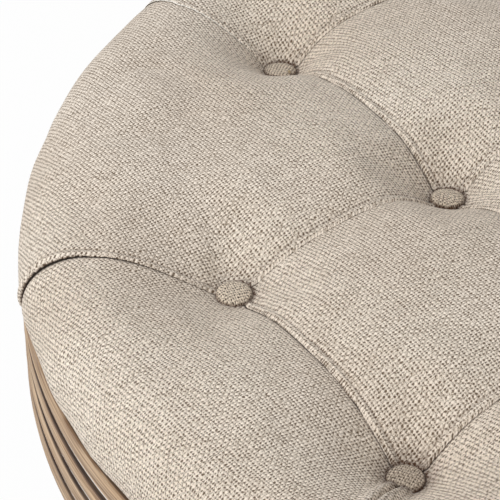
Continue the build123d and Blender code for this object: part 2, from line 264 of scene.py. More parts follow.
# How strongly each finish's marks show. A range says where a mark starts and ends, and one of four
# numbers also gives its values there.
linen_cloud_share = 0.35
linen_pit_share = 0.55
linen_roughness = (0.0, 1.0, 0.95, 0.8)
button_weave_share = 0.85
linen_shade_break = 0.6
button_shade_break = 0.2
mottle_range = (0.25, 0.75)
streak_range = (0.38, 0.64)
fibre_range = (0.42, 0.62)
pore_start = 0.72
pore_slope = -0.2
pore_blur = 0.06
scuff_share = 0.6
smudge_share = 0.4
smudge_scale = 18.0
fibre_relief_share = 0.4
inner_fibre_share = 0.3
inner_gloss = 0.12
rail_lime_share = 0.6
rail_fibre_share = 0.7
leg_lime_share = 0.5
leg_fibre_share = 0.45
blush_range = (0.45, 0.7, 0.0, 0.55)
line_range = (0.5, 0.64, 0.0, 0.6)
lime_and_highlight_range = (0.3, 0.5)
groove_shade_range = (0.3, 0.55, 0.8, 1.0)
contact_shadow_share = 0.9
foam_cell_scale = 900.0
foam_roughness = (0.3, 0.7, 0.98, 0.88)
twine_roughness = (0.0, 1.0, 0.7, 0.5)
dust_cloth_roughness = (0.0, 1.0, 0.7, 0.95)
dimple_scale = 520.0
dimple_range = (0.1, 0.5)
dust_fibre_scale = 2600.0

# Colours as screen values from 0 to 255: lit and dull threads with the pits between them, or the light
# and the dark of a finish with the lime in its pores
linen_tones = ((252, 240, 225), (124, 105, 82), (90, 70, 51))
button_tones = ((244, 229, 209), (88, 71, 52), (54, 39, 26))
linen_cloud = (206, 192, 178)
linen_shade = (72, 44, 22)
linen_edge_highlight = (255, 250, 240)
rail_tones = ((209, 181, 148), (126, 97, 72), (214, 203, 192))
rail_blush_tone = (186, 164, 140)
rail_line_tone = (104, 74, 52)
rail_lime_and_highlight = (242, 237, 233)
rail_groove_shade = (46, 29, 18)
rail_contact_shadow = (70, 50, 38)
leg_tones = ((201, 172, 142), (156, 124, 96), (205, 196, 190))
ply_tones = ((222, 196, 156), (186, 152, 110))
pine_tones = ((228, 202, 158), (198, 158, 108))
beech_tones = ((220, 188, 150), (190, 152, 114))
foam_tones = ((232, 218, 170), (196, 176, 120))
twine_tones = ((198, 180, 146), (120, 98, 70))
dust_cloth_tones = ((66, 66, 70), (26, 26, 28))
plastic_tones = ((58, 56, 54), (82, 80, 78))

# Heights of the surfaces' fine relief
linen_relief = 0.0008
oak_relief = 0.0002
inner_wood_relief = 0.00015
metal_relief = 0.00003
foam_relief = 0.0004
twine_relief = 0.0002
dust_cloth_relief = 0.0003
plastic_relief = 0.00004

# Scales of the grain and of the rail's streaks along X, Y and Z
rail_grain = (2.5, 2.5, 170.0)
rail_blush = (4.0, 4.0, 150.0)
rail_lines = (16.0, 16.0, 800.0)
rail_streaks = (30.0, 30.0, 400.0)
rail_wobble = (9.0, 9.0, 60.0)
rail_wobble_height = 0.0016
leg_grain = (300.0, 300.0, 9.0)
ply_grain = (8.0, 160.0, 700.0)
pine_grain = (60.0, 60.0, 12.0)
dowel_grain = (40.0, 40.0, 160.0)
twine_turns = 1800.0
twine_slant = 2600.0

# Levels and radii that follow
cushion_radius = rail_radius - edge_setback
edge_level = rail_top + edge_drop
edge_centre_radius = cushion_radius - edge_radius
crown_height = edge_radius + crown_rise
crown_radius = (edge_centre_radius**2 + crown_height**2 - edge_radius**2) / (2 * crown_rise)
crown_tilt = asin(edge_centre_radius / (crown_radius - edge_radius))
crown_end_radius = edge_centre_radius + edge_radius * sin(crown_tilt)
crown_end_level = edge_level + edge_radius * cos(crown_tilt)
shoulder_run = edge_radius * (pi / 2 - crown_tilt)
tuck_radius = cushion_radius - edge_drop
cushion_run = crown_end_radius + shoulder_run + edge_drop * pi / 2
hem_radius = rail_radius - rail_wall - soft_gap
hem_inner_radius = deck_radius - hem_width
hem_low = deck_low - hem_thickness

# Where the rail's painted shade in its grooves and its lime and painted highlight on the arrises begin and
# end:
# over and under a groove's middle, near the rail's top and foot and beside an arris, and where the cloth's
# painted shadow lies on the rail's top
groove_pitch = reed_face + groove_width
lowest_groove = rail_low + reed_face + groove_width / 2
groove_shade_over_range = (0.45 * groove_width, 0.58 * groove_width, 1.0, 0.0)
groove_shade_under_range = (-groove_width, -0.45 * groove_width)
clear_top_range = (rail_top - 0.8 * reed_face, rail_top - 0.6 * reed_face, 1.0, 0.0)
clear_foot_range = (rail_low + 0.3 * reed_face, rail_low + 0.5 * reed_face)
arris_height = 0.8 * groove_width
arris_range = (0.3 * lime_and_highlight_width, lime_and_highlight_width, 1.0, 0.0)
contact_shadow_radius = tuck_radius + contact_shadow_reach
contact_shadow_range = (contact_shadow_radius, contact_shadow_radius + contact_shadow_fade, 1.0, 0.0)


def put_in_scene(name, data):
    """An object with this data, linked to the scene."""
    piece = bpy.data.objects.new(name, data)
    bpy.context.scene.collection.objects.link(piece)
    return piece


# Small tools for the node trees


def srgb(red, green, blue):
    """A linear colour from its 0 to 255 screen values."""
    channels = []
    for value in (red, green, blue):
        share = value / 255
        channels.append(share / 12.92 if share <= 0.04045 else ((share + 0.055) / 1.055) ** 2.4)
    return (*channels, 1.0)


class Flow:
    """A value, vector or colour on its way through a node tree; sums on it place the nodes for them."""

    def __init__(self, tree, socket):
        self.tree = tree
        self.socket = socket

    def calc(self, operation, second=0.0, third=0.0, clamp=False):
        """The result of a sum on values."""
        inputs = {0: self, 1: second, 2: third}
        return flow(self.tree, "ShaderNodeMath", 0, inputs, operation=operation, use_clamp=clamp)

    def __add__(self, other):
        return self.calc("ADD", other)

    def __sub__(self, other):
        return self.calc("SUBTRACT", other)

    def __mul__(self, other):
        return self.calc("MULTIPLY", other)

    def __truediv__(self, other):
        return self.calc("DIVIDE", other)

    def line(self, slope, start, clamp=False):
        """The value times a slope, plus a start."""
        return self.calc("MULTIPLY_ADD", slope, start, clamp)

    def ramp(self, low, high, start=0.0, end=1.0):
        """The value carried smoothly from one range to another."""
        inputs = {"Value": self, "From Min": low, "From Max": high, "To Min": start, "To Max": end}
        return flow(self.tree, "ShaderNodeMapRange", 0, inputs, interpolation_type="SMOOTHSTEP")

    def vector_calc(self, operation, others=None, output=0):
        """The result of a sum on vectors, with its other inputs."""
        inputs = {0: self, **(others or {})}
        return flow(self.tree, "ShaderNodeVectorMath", output, inputs, operation=operation)

    def by_axis(self, factors):
        """The vector multiplied axis by axis."""
        return self.vector_calc("MULTIPLY", {1: factors})

    def parts(self):
        """The vector's three parts."""
        node = place_node(self.tree, "ShaderNodeSeparateXYZ", {"Vector": self})
        return [Flow(self.tree, node.outputs[axis]) for axis in "XYZ"]

    def noise(self, scale=1.0, detail=3.0, roughness=0.5, distortion=0.0, output="Fac"):
        """Noise at the places that the vector gives, near 0.5 on average."""
        inputs = {
            "Vector": self,
            "Scale": scale,
            "Detail": detail,
            "Roughness": roughness,
            "Distortion": distortion,
        }
        return flow(self.tree, "ShaderNodeTexNoise", output, inputs)


def fill(tree, node, inputs):
    """Fills a node's inputs: a flow is linked, a value is written."""
    for key, value in inputs.items():
        if isinstance(value, Flow):
            tree.links.new(value.socket, node.inputs[key])
        else:
            node.inputs[key].default_value = value


def place_node(tree, kind, inputs=None, **settings):
    """A node with its settings made and its inputs filled."""
    node = tree.nodes.new(kind)
    for key, value in settings.items():
        setattr(node, key, value)
    fill(tree, node, inputs or {})
    return node


def flow(tree, kind, output, inputs=None, **settings):
    """What flows out of one output of a new node."""
    return Flow(tree, place_node(tree, kind, inputs, **settings).outputs[output])


def vector_of(x, y, z=0.0):
    """A vector from its parts."""
    return flow(x.tree, "ShaderNodeCombineXYZ", 0, {"X": x, "Y": y, "Z": z})


def mixed(share, first, second, blend="MIX"):
    """A colour mixed from two."""
    inputs = {0: share, 6: first, 7: second}
    return flow(
        share.tree, "ShaderNodeMix", 2, inputs, data_type="RGBA", blend_type=blend, clamp_factor=True
    )


def blended(share, first, second):
    """A value mixed from two."""
    return flow(share.tree, "ShaderNodeMix", 0, {0: share, 2: first, 3: second}, data_type="FLOAT")


def relief(height, distance):
    """The normal of a surface whose fine relief has this height."""
    inputs = {"Height": height, "Distance": distance, "Strength": 1.0}
    return flow(height.tree, "ShaderNodeBump", 0, inputs)


def object_place(tree):
    """Places in the table's frame."""
    return flow(tree, "ShaderNodeTexCoord", "Object")


def new_material(name):
    """A material with its surface shader, ready for its nodes."""
    material = bpy.data.materials.new(name)
    material.use_nodes = True
    tree = material.node_tree
    return material, tree, tree.nodes["Principled BSDF"]


def new_group(name, inputs):
    """An empty shader group, and what flows from its inputs, given by name with their defaults."""
    group = bpy.data.node_groups.new(name, "ShaderNodeTree")
    for key, default in inputs.items():
        kind = "NodeSocketVector" if isinstance(default, tuple) else "NodeSocketFloat"
        socket = group.interface.new_socket(key, in_out="INPUT", socket_type=kind)
        socket.default_value = default
    given = group.nodes.new("NodeGroupInput")
    return group, {key: Flow(group, given.outputs[key]) for key in inputs}


def close_group(group, outputs):
    """Gives a group its outputs, by name with the values that they put out."""
    for key in outputs:
        group.interface.new_socket(key, in_out="OUTPUT", socket_type="NodeSocketFloat")
    fill(group, group.nodes.new("NodeGroupOutput"), outputs)
    return group


def use_group(tree, group, inputs):
    """What flows out of a group that is placed in a material with its own values."""
    node = place_node(tree, "ShaderNodeGroup", node_tree=group)
    fill(tree, node, inputs)
    return {socket.name: Flow(tree, socket) for socket in node.outputs}


# Effects that several materials share


def yarn_noise(first, second, slot):
    """Slow changes of thickness along each thread; first counts the threads, second runs along them."""
    place = vector_of(first.calc("FLOOR"), second * slub_run_share, slot)
    return place.noise(slub_scale, detail=2.0) - 0.5


def uneven_thread(across, along, slot):
    """Threads that lie closer here and wider there; across counts them and along runs with them."""
    place = vector_of(across * spacing_noise_share, along * slub_run_share, slot)
    step = place.noise(detail=2.0) - 0.5
    return step.line(spacing_spread, across)


def crossing_noise(warp, weft):
    """A value of its own for each crossing of two threads."""
    place = vector_of(warp.calc("FLOOR"), weft.calc("FLOOR"))
    return flow(warp.tree, "ShaderNodeTexWhiteNoise", "Value", {"Vector": place}) - 0.5


def drifted(place):
    """Places moved a little this way and that, as hand-stretched cloth lies."""
    colour = place.noise(drift_scale, detail=2.0, output="Color")
    centred = colour.vector_calc("SUBTRACT", {1: (0.5, 0.5, 0.5)})
    return place.vector_calc("ADD", {1: centred.vector_calc("SCALE", {"Scale": drift_length})})


def thread_height(over, warp_round, weft_round):
    """Height of the weave: the warp where it lies over, the weft elsewhere, both lower at their edges."""
    warp_top = warp_round * weft_round.line(0.5, 0.5)
    weft_top = weft_round * warp_round.line(0.5, 0.5)
    return blended(over, weft_top, warp_top)


def summed(tones):
    """Tones added up, each times its contrast."""
    total = 0.0
    for tone, contrast in tones:
        total = tone.line(contrast, total)
    return total


def weave_group():
    """Plain weave: rounded warp and weft threads, one over the other in turn, with uneven yarn."""
    inputs = {"Place": (0.0, 0.0, 0.0), "Warp pitch": warp_pitch, "Weft pitch": weft_pitch, "Contrast": 1.0}
    group, given = new_group("Plain weave", inputs)
    moved = drifted(given["Place"])
    x, y, _ = moved.parts()
    even_warp = x / given["Warp pitch"]
    even_weft = y / given["Weft pitch"]
    warp = uneven_thread(even_warp, even_weft, spacing_slots[0])
    weft = uneven_thread(even_weft, even_warp, spacing_slots[1])
    warp_angle = warp * pi
    weft_angle = weft * pi
    warp_sine = warp_angle.calc("SINE")
    weft_sine = weft_angle.calc("SINE")
    both_cosines = warp_angle.calc("COSINE") * weft_angle.calc("COSINE")
    hole_size = crossing_noise(warp + 0.5, weft + 0.5).line(hole_size_spread, 1.0)
    hole = both_cosines * both_cosines * hole_size
    turn = warp_sine * weft_sine
    over = turn.ramp(-thread_turn_blur, thread_turn_blur)
    warp_round = warp_sine.calc("ABSOLUTE").calc("POWER", thread_round_power)
    weft_round = weft_sine.calc("ABSOLUTE").calc("POWER", thread_round_power)
    yarn = blended(over, yarn_noise(weft, warp, slub_slots[0]), yarn_noise(warp, weft, slub_slots[1]))
    tones = (
        (warp_round - thread_round_middle, warp_contrast),
        (weft_round - thread_round_middle, weft_contrast),
        (hole - hole_middle, hole_contrast),
        (both_cosines.line(twist_share, turn), turn_contrast),
        (crossing_noise(warp, weft), crossing_contrast),
        (yarn, yarn_contrast),
        (moved.noise(fibre_scale, detail=0.0) - 0.5, fibre_contrast),
    )
    outputs = {
        "Tone": summed(tones).line(given["Contrast"], middle_tone, clamp=True),
        "Height": thread_height(over, warp_round, weft_round),
        "Pits": hole.ramp(*pit_range),
    }
    return close_group(group, outputs)


def mottle_group():
    """Soft cloudy variation at two scales."""
    inputs = {"Place": (0.0, 0.0, 0.0), "Cloud scale": 6.0, "Speck scale": 60.0, "Speck share": 0.3}
    group, given = new_group("Mottle", inputs)
    clouds = given["Place"].noise(given["Cloud scale"])
    specks = given["Place"].noise(given["Speck scale"], detail=4.0)
    both = blended(given["Speck share"], clouds, specks)
    return close_group(group, {"Value": both.ramp(*mottle_range)})


def grain_group():
    """Wood grain: long growth streaks, fine fibres and open pores along the first axis of the place."""
    group, given = new_group("Wood grain", {"Place": (0.0, 0.0, 0.0), "Figure": 1.0, "Pore density": 0.5})
    place = given["Place"]
    figure = given["Figure"]
    broad = place.noise(figure * 1.0, detail=5.0, roughness=0.6, distortion=0.4)
    fine = place.noise(figure * 5.0, detail=4.0, roughness=0.65)
    pores = place.noise(figure * 9.0, detail=2.0)
    limit = given["Pore density"].line(pore_slope, pore_start)
    outputs = {
        "Streaks": broad.ramp(*streak_range),
        "Fibres": fine.ramp(*fibre_range),
        "Pores": pores.ramp(limit, limit + pore_blur),
    }
    return close_group(group, outputs)


def handling_group():
    """Fine scuffs and smudges on hard finishes."""
    inputs = {"Place": (0.0, 0.0, 0.0), "Scuff scale": 400.0, "Base roughness": 0.4, "Spread": 0.15}
    group, given = new_group("Handling marks", inputs)
    scuffs = given["Place"].noise(given["Scuff scale"], detail=6.0, roughness=0.7)
    smudges = given["Place"].noise(smudge_scale, detail=2.0)
    marks = scuffs * scuff_share + smudges * smudge_share - 0.5
    rough = marks.line(given["Spread"], given["Base roughness"], clamp=True)
    return close_group(group, {"Roughness": rough, "Scuffs": scuffs})


weave = weave_group()
mottle = mottle_group()
grain = grain_group()
handling = handling_group()


# Materials


def linen(name, tones, pitch_share, shade_break):
    """Slubby plain-weave linen; the mesh says where its threads lie and where shade and highlight are painted
    on it.
    """
    material, tree, shader = new_material(name)
    bright, dull, pit = (srgb(*tone) for tone in tones)
    stored = flow(tree, "ShaderNodeAttribute", "Vector", attribute_name="weave")
    shade = stored.parts()[2]
    pitches = {"Warp pitch": warp_pitch * pitch_share, "Weft pitch": weft_pitch * pitch_share}
    threads = use_group(tree, weave, {"Place": stored.by_axis((1.0, 1.0, 0.0)), **pitches})
    scales = {"Cloud scale": 9.0, "Speck scale": 90.0, "Speck share": 0.35}
    clouds = use_group(tree, mottle, {"Place": object_place(tree), **scales})["Value"]
    yarn = mixed(threads["Tone"], dull, bright)
    tinted = mixed(clouds * linen_cloud_share, yarn, srgb(*linen_cloud), "MULTIPLY")
    colour = mixed(threads["Pits"] * linen_pit_share, tinted, pit)
    lit_tone = threads["Tone"].line(-shade_break, 1 + shade_break / 2)
    shaded = mixed(shade.calc("MULTIPLY", lit_tone, clamp=True), colour, srgb(*linen_shade))
    # Painted highlight where the shade is below zero: the lit edge of a pleat's lip, with its pale frayed
    # threads
    edge_lit = mixed(shade.calc("MULTIPLY", -1.0, clamp=True), shaded, srgb(*linen_edge_highlight))
    inputs = {
        "Base Color": edge_lit,
        "Roughness": threads["Tone"].ramp(*linen_roughness),
        "Sheen Weight": 0.15,
        "Sheen Roughness": 0.6,
        "Specular IOR Level": 0.2,
        "Normal": relief(threads["Height"], linen_relief),
    }
    fill(tree, shader, inputs)
    return material


def oak(name, tones, grain_scale, lime_share, fibre_share):
    """Brushed oak with pale lime left in its pores, and the colour that it shows."""
    material, tree, shader = new_material(name)
    light, dark, lime = (srgb(*tone) for tone in tones)
    wood = use_group(tree, grain, {"Place": object_place(tree).by_axis(grain_scale)})
    marks = use_group(tree, handling, {"Place": object_place(tree), "Base roughness": 0.62, "Spread": 0.3})
    body = mixed(wood["Streaks"], light, dark)
    fibres = mixed(wood["Fibres"] * fibre_share, body, dark)
    limed = mixed(wood["Pores"] * lime_share, fibres, lime)
    inputs = {
        "Base Color": limed,
        "Roughness": marks["Roughness"],
        "Specular IOR Level": 0.25,
        "Normal": relief(wood["Fibres"] * fibre_relief_share - wood["Pores"], oak_relief),
    }
    fill(tree, shader, inputs)
    return material, limed


def groove_masks(tree):
    """Where painted shade lies in the grooves, lime and painted highlight on each arris above, painted shadow
    on top.
    """
    place = object_place(tree)
    level = place.parts()[2]
    wobble = place.by_axis(rail_wobble).noise()
    worn_level = level + wobble.line(rail_wobble_height, -rail_wobble_height / 2)
    share = (worn_level - lowest_groove) / groove_pitch
    above = ((share + 0.5).calc("FRACT") - 0.5) * groove_pitch
    on_reeds = level.ramp(*clear_top_range) * level.ramp(*clear_foot_range)
    groove = above.ramp(*groove_shade_over_range) * above.ramp(*groove_shade_under_range) * on_reeds
    arris = (above - arris_height).calc("ABSOLUTE").ramp(*arris_range) * on_reeds
    radius = place.by_axis((1.0, 1.0, 0.0)).vector_calc("LENGTH", output="Value")
    contact_shadow = radius.ramp(*contact_shadow_range) * level.calc("GREATER_THAN", rail_top - reed_face)
    return groove, arris, contact_shadow


def limed_oak():
    """The rail's oak: painted shade in the grooves and a line of lime and painted highlight on the arris
    above each.
    """
    material, wood = oak("Limed oak rail", rail_tones, rail_grain, rail_lime_share, rail_fibre_share)
    tree = material.node_tree
    place = object_place(tree)
    groove, arris, contact_shadow = groove_masks(tree)
    blush = place.by_axis(rail_blush).noise(detail=2.0)
    tinted = mixed(blush.ramp(*blush_range), wood, srgb(*rail_blush_tone))
    lines = place.by_axis(rail_lines).noise()
    lined = mixed(lines.ramp(*line_range), tinted, srgb(*rail_line_tone))
    streaks = place.by_axis(rail_streaks).noise()
    # Lime on the arris above each groove, with a painted highlight where the arris catches the light
    limed = mixed(arris * streaks.ramp(*lime_and_highlight_range), lined, srgb(*rail_lime_and_highlight))
    # Painted shade in the grooves, under the reed above each, broken by the streaks
    waxed = mixed(groove * streaks.ramp(*groove_shade_range), limed, srgb(*rail_groove_shade))
    # Painted shadow on the rail's top where the cloth's edge overhangs it
    contact_shadowed = mixed(contact_shadow * contact_shadow_share, waxed, srgb(*rail_contact_shadow))
    fill(tree, tree.nodes["Principled BSDF"], {"Base Color": contact_shadowed})
    return material


def plain_wood(name, tones, grain_scale, roughness):
    """An unfinished inner wood."""
    material, tree, shader = new_material(name)
    light, dark = (srgb(*tone) for tone in tones)
    place = object_place(tree).by_axis(grain_scale)
    wood = use_group(tree, grain, {"Place": place, "Pore density": 0.2})
    body = mixed(wood["Streaks"], light, dark)
    inputs = {
        "Base Color": mixed(wood["Fibres"] * inner_fibre_share, body, dark),
        "Roughness": wood["Fibres"].ramp(0.0, 1.0, roughness, roughness - inner_gloss),
        "Normal": relief(wood["Fibres"], inner_wood_relief),
    }
    fill(tree, shader, inputs)
    return material


def handled(name, colour, shade, marks, metallic, height):
    """A hard finish with handling marks, drawn, plated or moulded."""
    material, tree, shader = new_material(name)
    made = use_group(tree, handling, {"Place": object_place(tree), **marks})
    inputs = {
        "Base Color": mixed(made["Scuffs"], colour, shade),
        "Roughness": made["Roughness"],
        "Metallic": metallic,
        "Normal": relief(made["Scuffs"], height),
    }
    fill(tree, shader, inputs)
    return material


def metal(name, colour, shade, roughness):
    """A plated or drawn metal."""
    marks = {"Base roughness": roughness, "Spread": 0.35}
    return handled(name, (*colour, 1.0), (*shade, 1.0), marks, 1.0, metal_relief)


def glide_plastic():
    """Moulded grey plastic with a fine mould texture."""
    marks = {"Scuff scale": 900.0, "Base roughness": 0.5, "Spread": 0.3}
    dark, light = (srgb(*tone) for tone in plastic_tones)
    return handled("Glide plastic", dark, light, marks, 0.0, plastic_relief)


def toned(name, make_mask, tones, roughness, height):
    """A finish with one mask that takes it from its dark to its light and from rough to smooth."""
    material, tree, shader = new_material(name)
    light, dark = (srgb(*tone) for tone in tones)
    mask = make_mask(object_place(tree))
    inputs = {
        "Base Color": mixed(mask, dark, light),
        "Roughness": mask.ramp(*roughness),
        "Normal": relief(mask, height),
    }
    fill(tree, shader, inputs)
    return material


def foam_mask(place):
    """Open cells of upholstery foam."""
    return place.noise(foam_cell_scale, detail=2.0)


def twine_mask(place):
    """Twisted strands of waxed upholsterer's twine."""
    x, _, z = place.parts()
    return (z * twine_turns + x * twine_slant).calc("SINE").line(0.5, 0.5)


def dust_cloth_mask(place):
    """Spun-bonded cloth with its pressed dimples."""
    inputs = {"Vector": place, "Scale": dimple_scale}
    dimples = flow(place.tree, "ShaderNodeTexVoronoi", "Distance", inputs, feature="F1")
    return dimples.ramp(*dimple_range) * place.noise(dust_fibre_scale)


linen_cloth = linen("Linen", linen_tones, 1.0, linen_shade_break)
button_cloth = linen("Button linen", button_tones, button_weave_share, button_shade_break)
rail_oak = limed_oak()
turned_oak = oak("Limed oak leg", leg_tones, leg_grain, leg_lime_share, leg_fibre_share)[0]
foam_cells = toned("Upholstery foam", foam_mask, foam_tones, foam_roughness, foam_relief)
ply = plain_wood("Plywood", ply_tones, ply_grain, 0.75)
pine = plain_wood("Pine", pine_tones, pine_grain, 0.72)
beech = plain_wood("Beech dowel", beech_tones, dowel_grain, 0.6)
twine_wax = toned("Waxed twine", twine_mask, twine_tones, twine_roughness, twine_relief)
black_cloth = toned("Dust cloth", dust_cloth_mask, dust_cloth_tones, dust_cloth_roughness, dust_cloth_relief)
washer_steel = metal("Washer steel", (0.62, 0.63, 0.64), (0.42, 0.43, 0.44), 0.42)
screw_steel = metal("Screw steel", (0.66, 0.6, 0.42), (0.46, 0.42, 0.3), 0.35)
bolt_steel = metal("Bolt steel", (0.6, 0.61, 0.63), (0.38, 0.39, 0.41), 0.4)
brass = metal("Insert brass", (0.78, 0.6, 0.28), (0.55, 0.4, 0.16), 0.34)
glide_grey = glide_plastic()


# Finishes of the pieces kept from the frame

sides = ("left", "front", "right", "back")
corners = ("front_left", "front_right", "back_right", "back_left")
inner_pine = ["cross_brace_lower", "cross_brace_upper"]
inner_pine += [f"deck_cleat_{side}" for side in sides]
inner_pine += [f"leg_block_{corner}" for corner in corners]
kept_finishes = (
    (rail_oak, [f"rail_{side}" for side in sides]),
    (turned_oak, [f"leg_{corner}" for corner in corners]),
    (ply, ["deck_board"]),
    (pine, inner_pine),
    (beech, ["rail_dowels"]),
    (twine_wax, ["button_twines"]),
    (washer_steel, ["twine_washers"]),
    (screw_steel, ["deck_screws"]),
    (brass, ["leg_inserts"]),
    (bolt_steel, ["hanger_bolts"]),
    (glide_grey, ["foot_glides"]),
)


def dress(piece, material):
    """Gives a piece that keeps its own shape its finish."""
    if not piece.material_slots:
        piece.data.materials.append(None)
    for material_slot in piece.material_slots:
        material_slot.link = "OBJECT"
        material_slot.material = material


for finish, names in kept_finishes:
    for name in names:
        dress(nodes[name], finish)


# Places of the tufting


def on_circle(radius, azimuth):
    """A place in plan by its distance from the table's axis and its azimuth."""
    return np.array([radius * cos(azimuth), radius * sin(azimuth)])


def turned_place(place, turn):
    """A place in plan, or an array of them, turned about the table's axis."""
    x, y = place[..., 0], place[..., 1]
    return np.stack([x * cos(turn) - y * sin(turn), x * sin(turn) + y * cos(turn)], -1)


def button_places():
    """The four inner buttons, then the eight outer ones in pairs about each axis, moved by hand work."""
    places = [on_circle(tuft_spacing, quarter * pi / 2) for quarter in range(4)]
    for quarter in range(4):
        for side in (-1, 1):
            local = np.array([2 * tuft_spacing, side * tuft_spacing])
            places.append(turned_place(local, quarter * pi / 2))
    return [place + np.array(shift) for place, shift in zip(places, button_shifts)]


all_buttons = button_places()
inner_buttons = all_buttons[:4]
outer_buttons = all_buttons[4:]


def nearest_button(place):
    """The number of the button nearest to a place."""
    return min(range(len(all_buttons)), key=lambda number: np.linalg.norm(all_buttons[number] - place))


def fold_pairs():
    """Numbers of the buttons that are one panel side apart."""
    side = tuft_spacing * sqrt(2)
    count = len(all_buttons)
    return [
        (start, end)
        for start in range(count)
        for end in range(start + 1, count)
        if abs(np.linalg.norm(all_buttons[end] - all_buttons[start]) - side) < side / 10
    ]


def pleat_path(index):
    """The pleat of an outer button: its places at the button, the brow and the rim."""
    side = 1 if index % 2 else -1
    nominal = index // 2 * pi / 2 + side * pleat_azimuth
    brow = on_circle(crown_end_radius, nominal + pleat_lean / 2)
    rim = on_circle(cushion_run, nominal + pleat_lean)
    return [outer_buttons[index], brow, rim]


folds = fold_pairs()
pleats = [pleat_path(index) for index in range(len(outer_buttons))]


# Shape of the cushion. A point of the cloth is named by its place on the untufted cushion laid flat:
# its run from the middle along the surface, at its azimuth.


def eased(value, low, high):
    """Zero below low, one above high and smooth between."""
    share = np.clip((value - low) / (high - low), 0, 1)
    return share * share * (3 - 2 * share)


def near(gap, reach):
    """One at a line, falling evenly to zero at its reach."""
    return np.clip(1 - gap / reach, 0, 1)


def hump(value, centre, spread):
    """A soft hump, one high at its centre."""
    return np.exp(-(((value - centre) / spread) ** 2))


def around_axis(azimuth):
    """The directions in plan at azimuths."""
    return np.stack([np.cos(azimuth), np.sin(azimuth)], -1)


def crown_level(radius):
    """Height of the untufted crown at a radius."""
    return top_level - (top_level - crown_end_level) * (radius / crown_end_radius) ** 2


def cushion_profile(run, inset=0.0):
    """Radius, level and outward slant of the untufted cushion at runs from the middle along its surface."""
    crown_slant = np.arctan(2 * (top_level - crown_end_level) * run / crown_end_radius**2)
    shoulder_slant = crown_tilt + (run - crown_end_radius) / edge_radius
    tuck_slant = pi / 2 + (run - crown_end_radius - shoulder_run) / edge_drop
    on_crown = run <= crown_end_radius
    on_tuck = shoulder_slant > pi / 2
    slant = np.where(on_crown, crown_slant, np.where(on_tuck, tuck_slant, shoulder_slant))
    round_radius = np.where(on_tuck, edge_drop, edge_radius)
    round_centre = np.where(on_tuck, tuck_radius, edge_centre_radius)
    radius = np.where(on_crown, run, round_centre + round_radius * np.sin(slant))
    level = np.where(on_crown, crown_level(run), edge_level + round_radius * np.cos(slant))
    return radius - inset * np.sin(slant), level - inset * np.cos(slant), slant


def measure_line(place, line):
    """Distance from places to a line of straight stretches, and how far along it they are."""
    best = np.full(place.shape[:-1], np.inf)
    along = np.zeros(place.shape[:-1])
    passed = 0.0
    for start, end in zip(line[:-1], line[1:]):
        length = np.linalg.norm(end - start)
        heading = (end - start) / length
        here = np.clip((place - start) @ heading, 0, length)
        gap = np.linalg.norm(place - start - here[..., None] * heading, axis=-1)
        along = np.where(gap < best, passed + here, along)
        best = np.minimum(gap, best)
        passed += length
    return best, along


def button_depth(number):
    """How deep a button sits under the crown above it."""
    return crown_level(np.linalg.norm(all_buttons[number])) - seat_level - button_lifts[number]


def dish(away, number, well_spread):
    """Depth that a button presses about itself."""
    outside = np.maximum(away - (dish_floor_radius + well_spread), 0)
    return button_depth(number) * near(outside, dish_reach - dish_floor_radius) ** dish_falls[number]


def fold_valley(place, fold):
    """Depth of the valley along a fold, shallow at its middle."""
    start, end = (all_buttons[number] for number in fold)
    gap, along = measure_line(place, (start, end))
    share = along / np.linalg.norm(end - start)
    ends = [button_depth(number) for number in fold]
    end_depth = ends[0] + (ends[1] - ends[0]) * share
    near_end = (2 * share - 1) ** 2
    depth = fold_mid_depth + (end_depth - fold_mid_depth) * near_end
    reach = fold_mid_reach + (fold_end_reach - fold_mid_reach) * near_end
    return depth * near(gap, reach) ** fold_fall


def pleat_valley(place, index):
    """Depth of the valley along a pleat, which runs out towards the brow."""
    gap, along = measure_line(place, pleats[index])
    end_depth = button_depth(len(inner_buttons) + index)
    near_button = near(along, pleat_valley_run) ** 2
    depth = pleat_valley_depth + (end_depth - pleat_valley_depth) * near_button
    reach = pleat_reach + (fold_end_reach - pleat_reach) * near_button
    return depth * near(gap, reach) ** fold_fall


def tuft_depth(place, well_spread=0.0):
    """How deep the tufting draws the cloth in under the untufted cushion, down to the buttons at most."""
    total = np.zeros(place.shape[:-1])
    floor = np.zeros(place.shape[:-1])
    for number, button in enumerate(all_buttons):
        away = np.linalg.norm(place - button, axis=-1)
        total += dish(away, number, well_spread) ** blend_power
        floor = np.maximum(floor, button_depth(number) * (away < tuft_spacing / 2))
    for fold in folds:
        total += fold_valley(place, fold) ** blend_power
    for index in range(len(pleats)):
        total += pleat_valley(place, index) ** blend_power
    floor = np.where(floor > 0, floor, np.inf)
    return np.minimum(total ** (1 / blend_power), floor)


def unevenness(place):
    """Gentle lumps of the padding."""
    x, y = place[..., 0], place[..., 1]
    waves = sum(np.sin(across * x + along * y + start) for across, along, start in padding_waves)
    return padding_unevenness * waves / 2


def pucker_rise(place):
    """Soft hollows that run out over a panel from a button that is drawn in hard."""
    rise = np.zeros(place.shape[:-1])
    for button, azimuth in puckers:
        away = turned_place(place - all_buttons[button], -radians(azimuth))
        along, aside = away[..., 0], away[..., 1]
        length = eased(along, 0, pucker_start) * (1 - eased(along, pucker_start, pucker_end))
        rise -= pucker_depth * length * hump(aside, 0, pucker_spread)
        rise += pucker_ridge * length * hump(aside, pucker_spread * pucker_ridge_share, pucker_spread)
    return rise


def rim_fade(run):
    """One on the crown and the shoulder, falling where the cloth tucks in under the edge."""
    return 1 - tuck_calm_share * eased(run, cushion_run - edge_drop * pi / 2, cushion_run)


def laps_over(middle, line):
    """Whether a panel laps over its neighbour at a border: the one further back always does."""
    return middle[1] > np.mean([place[1] for place in line])


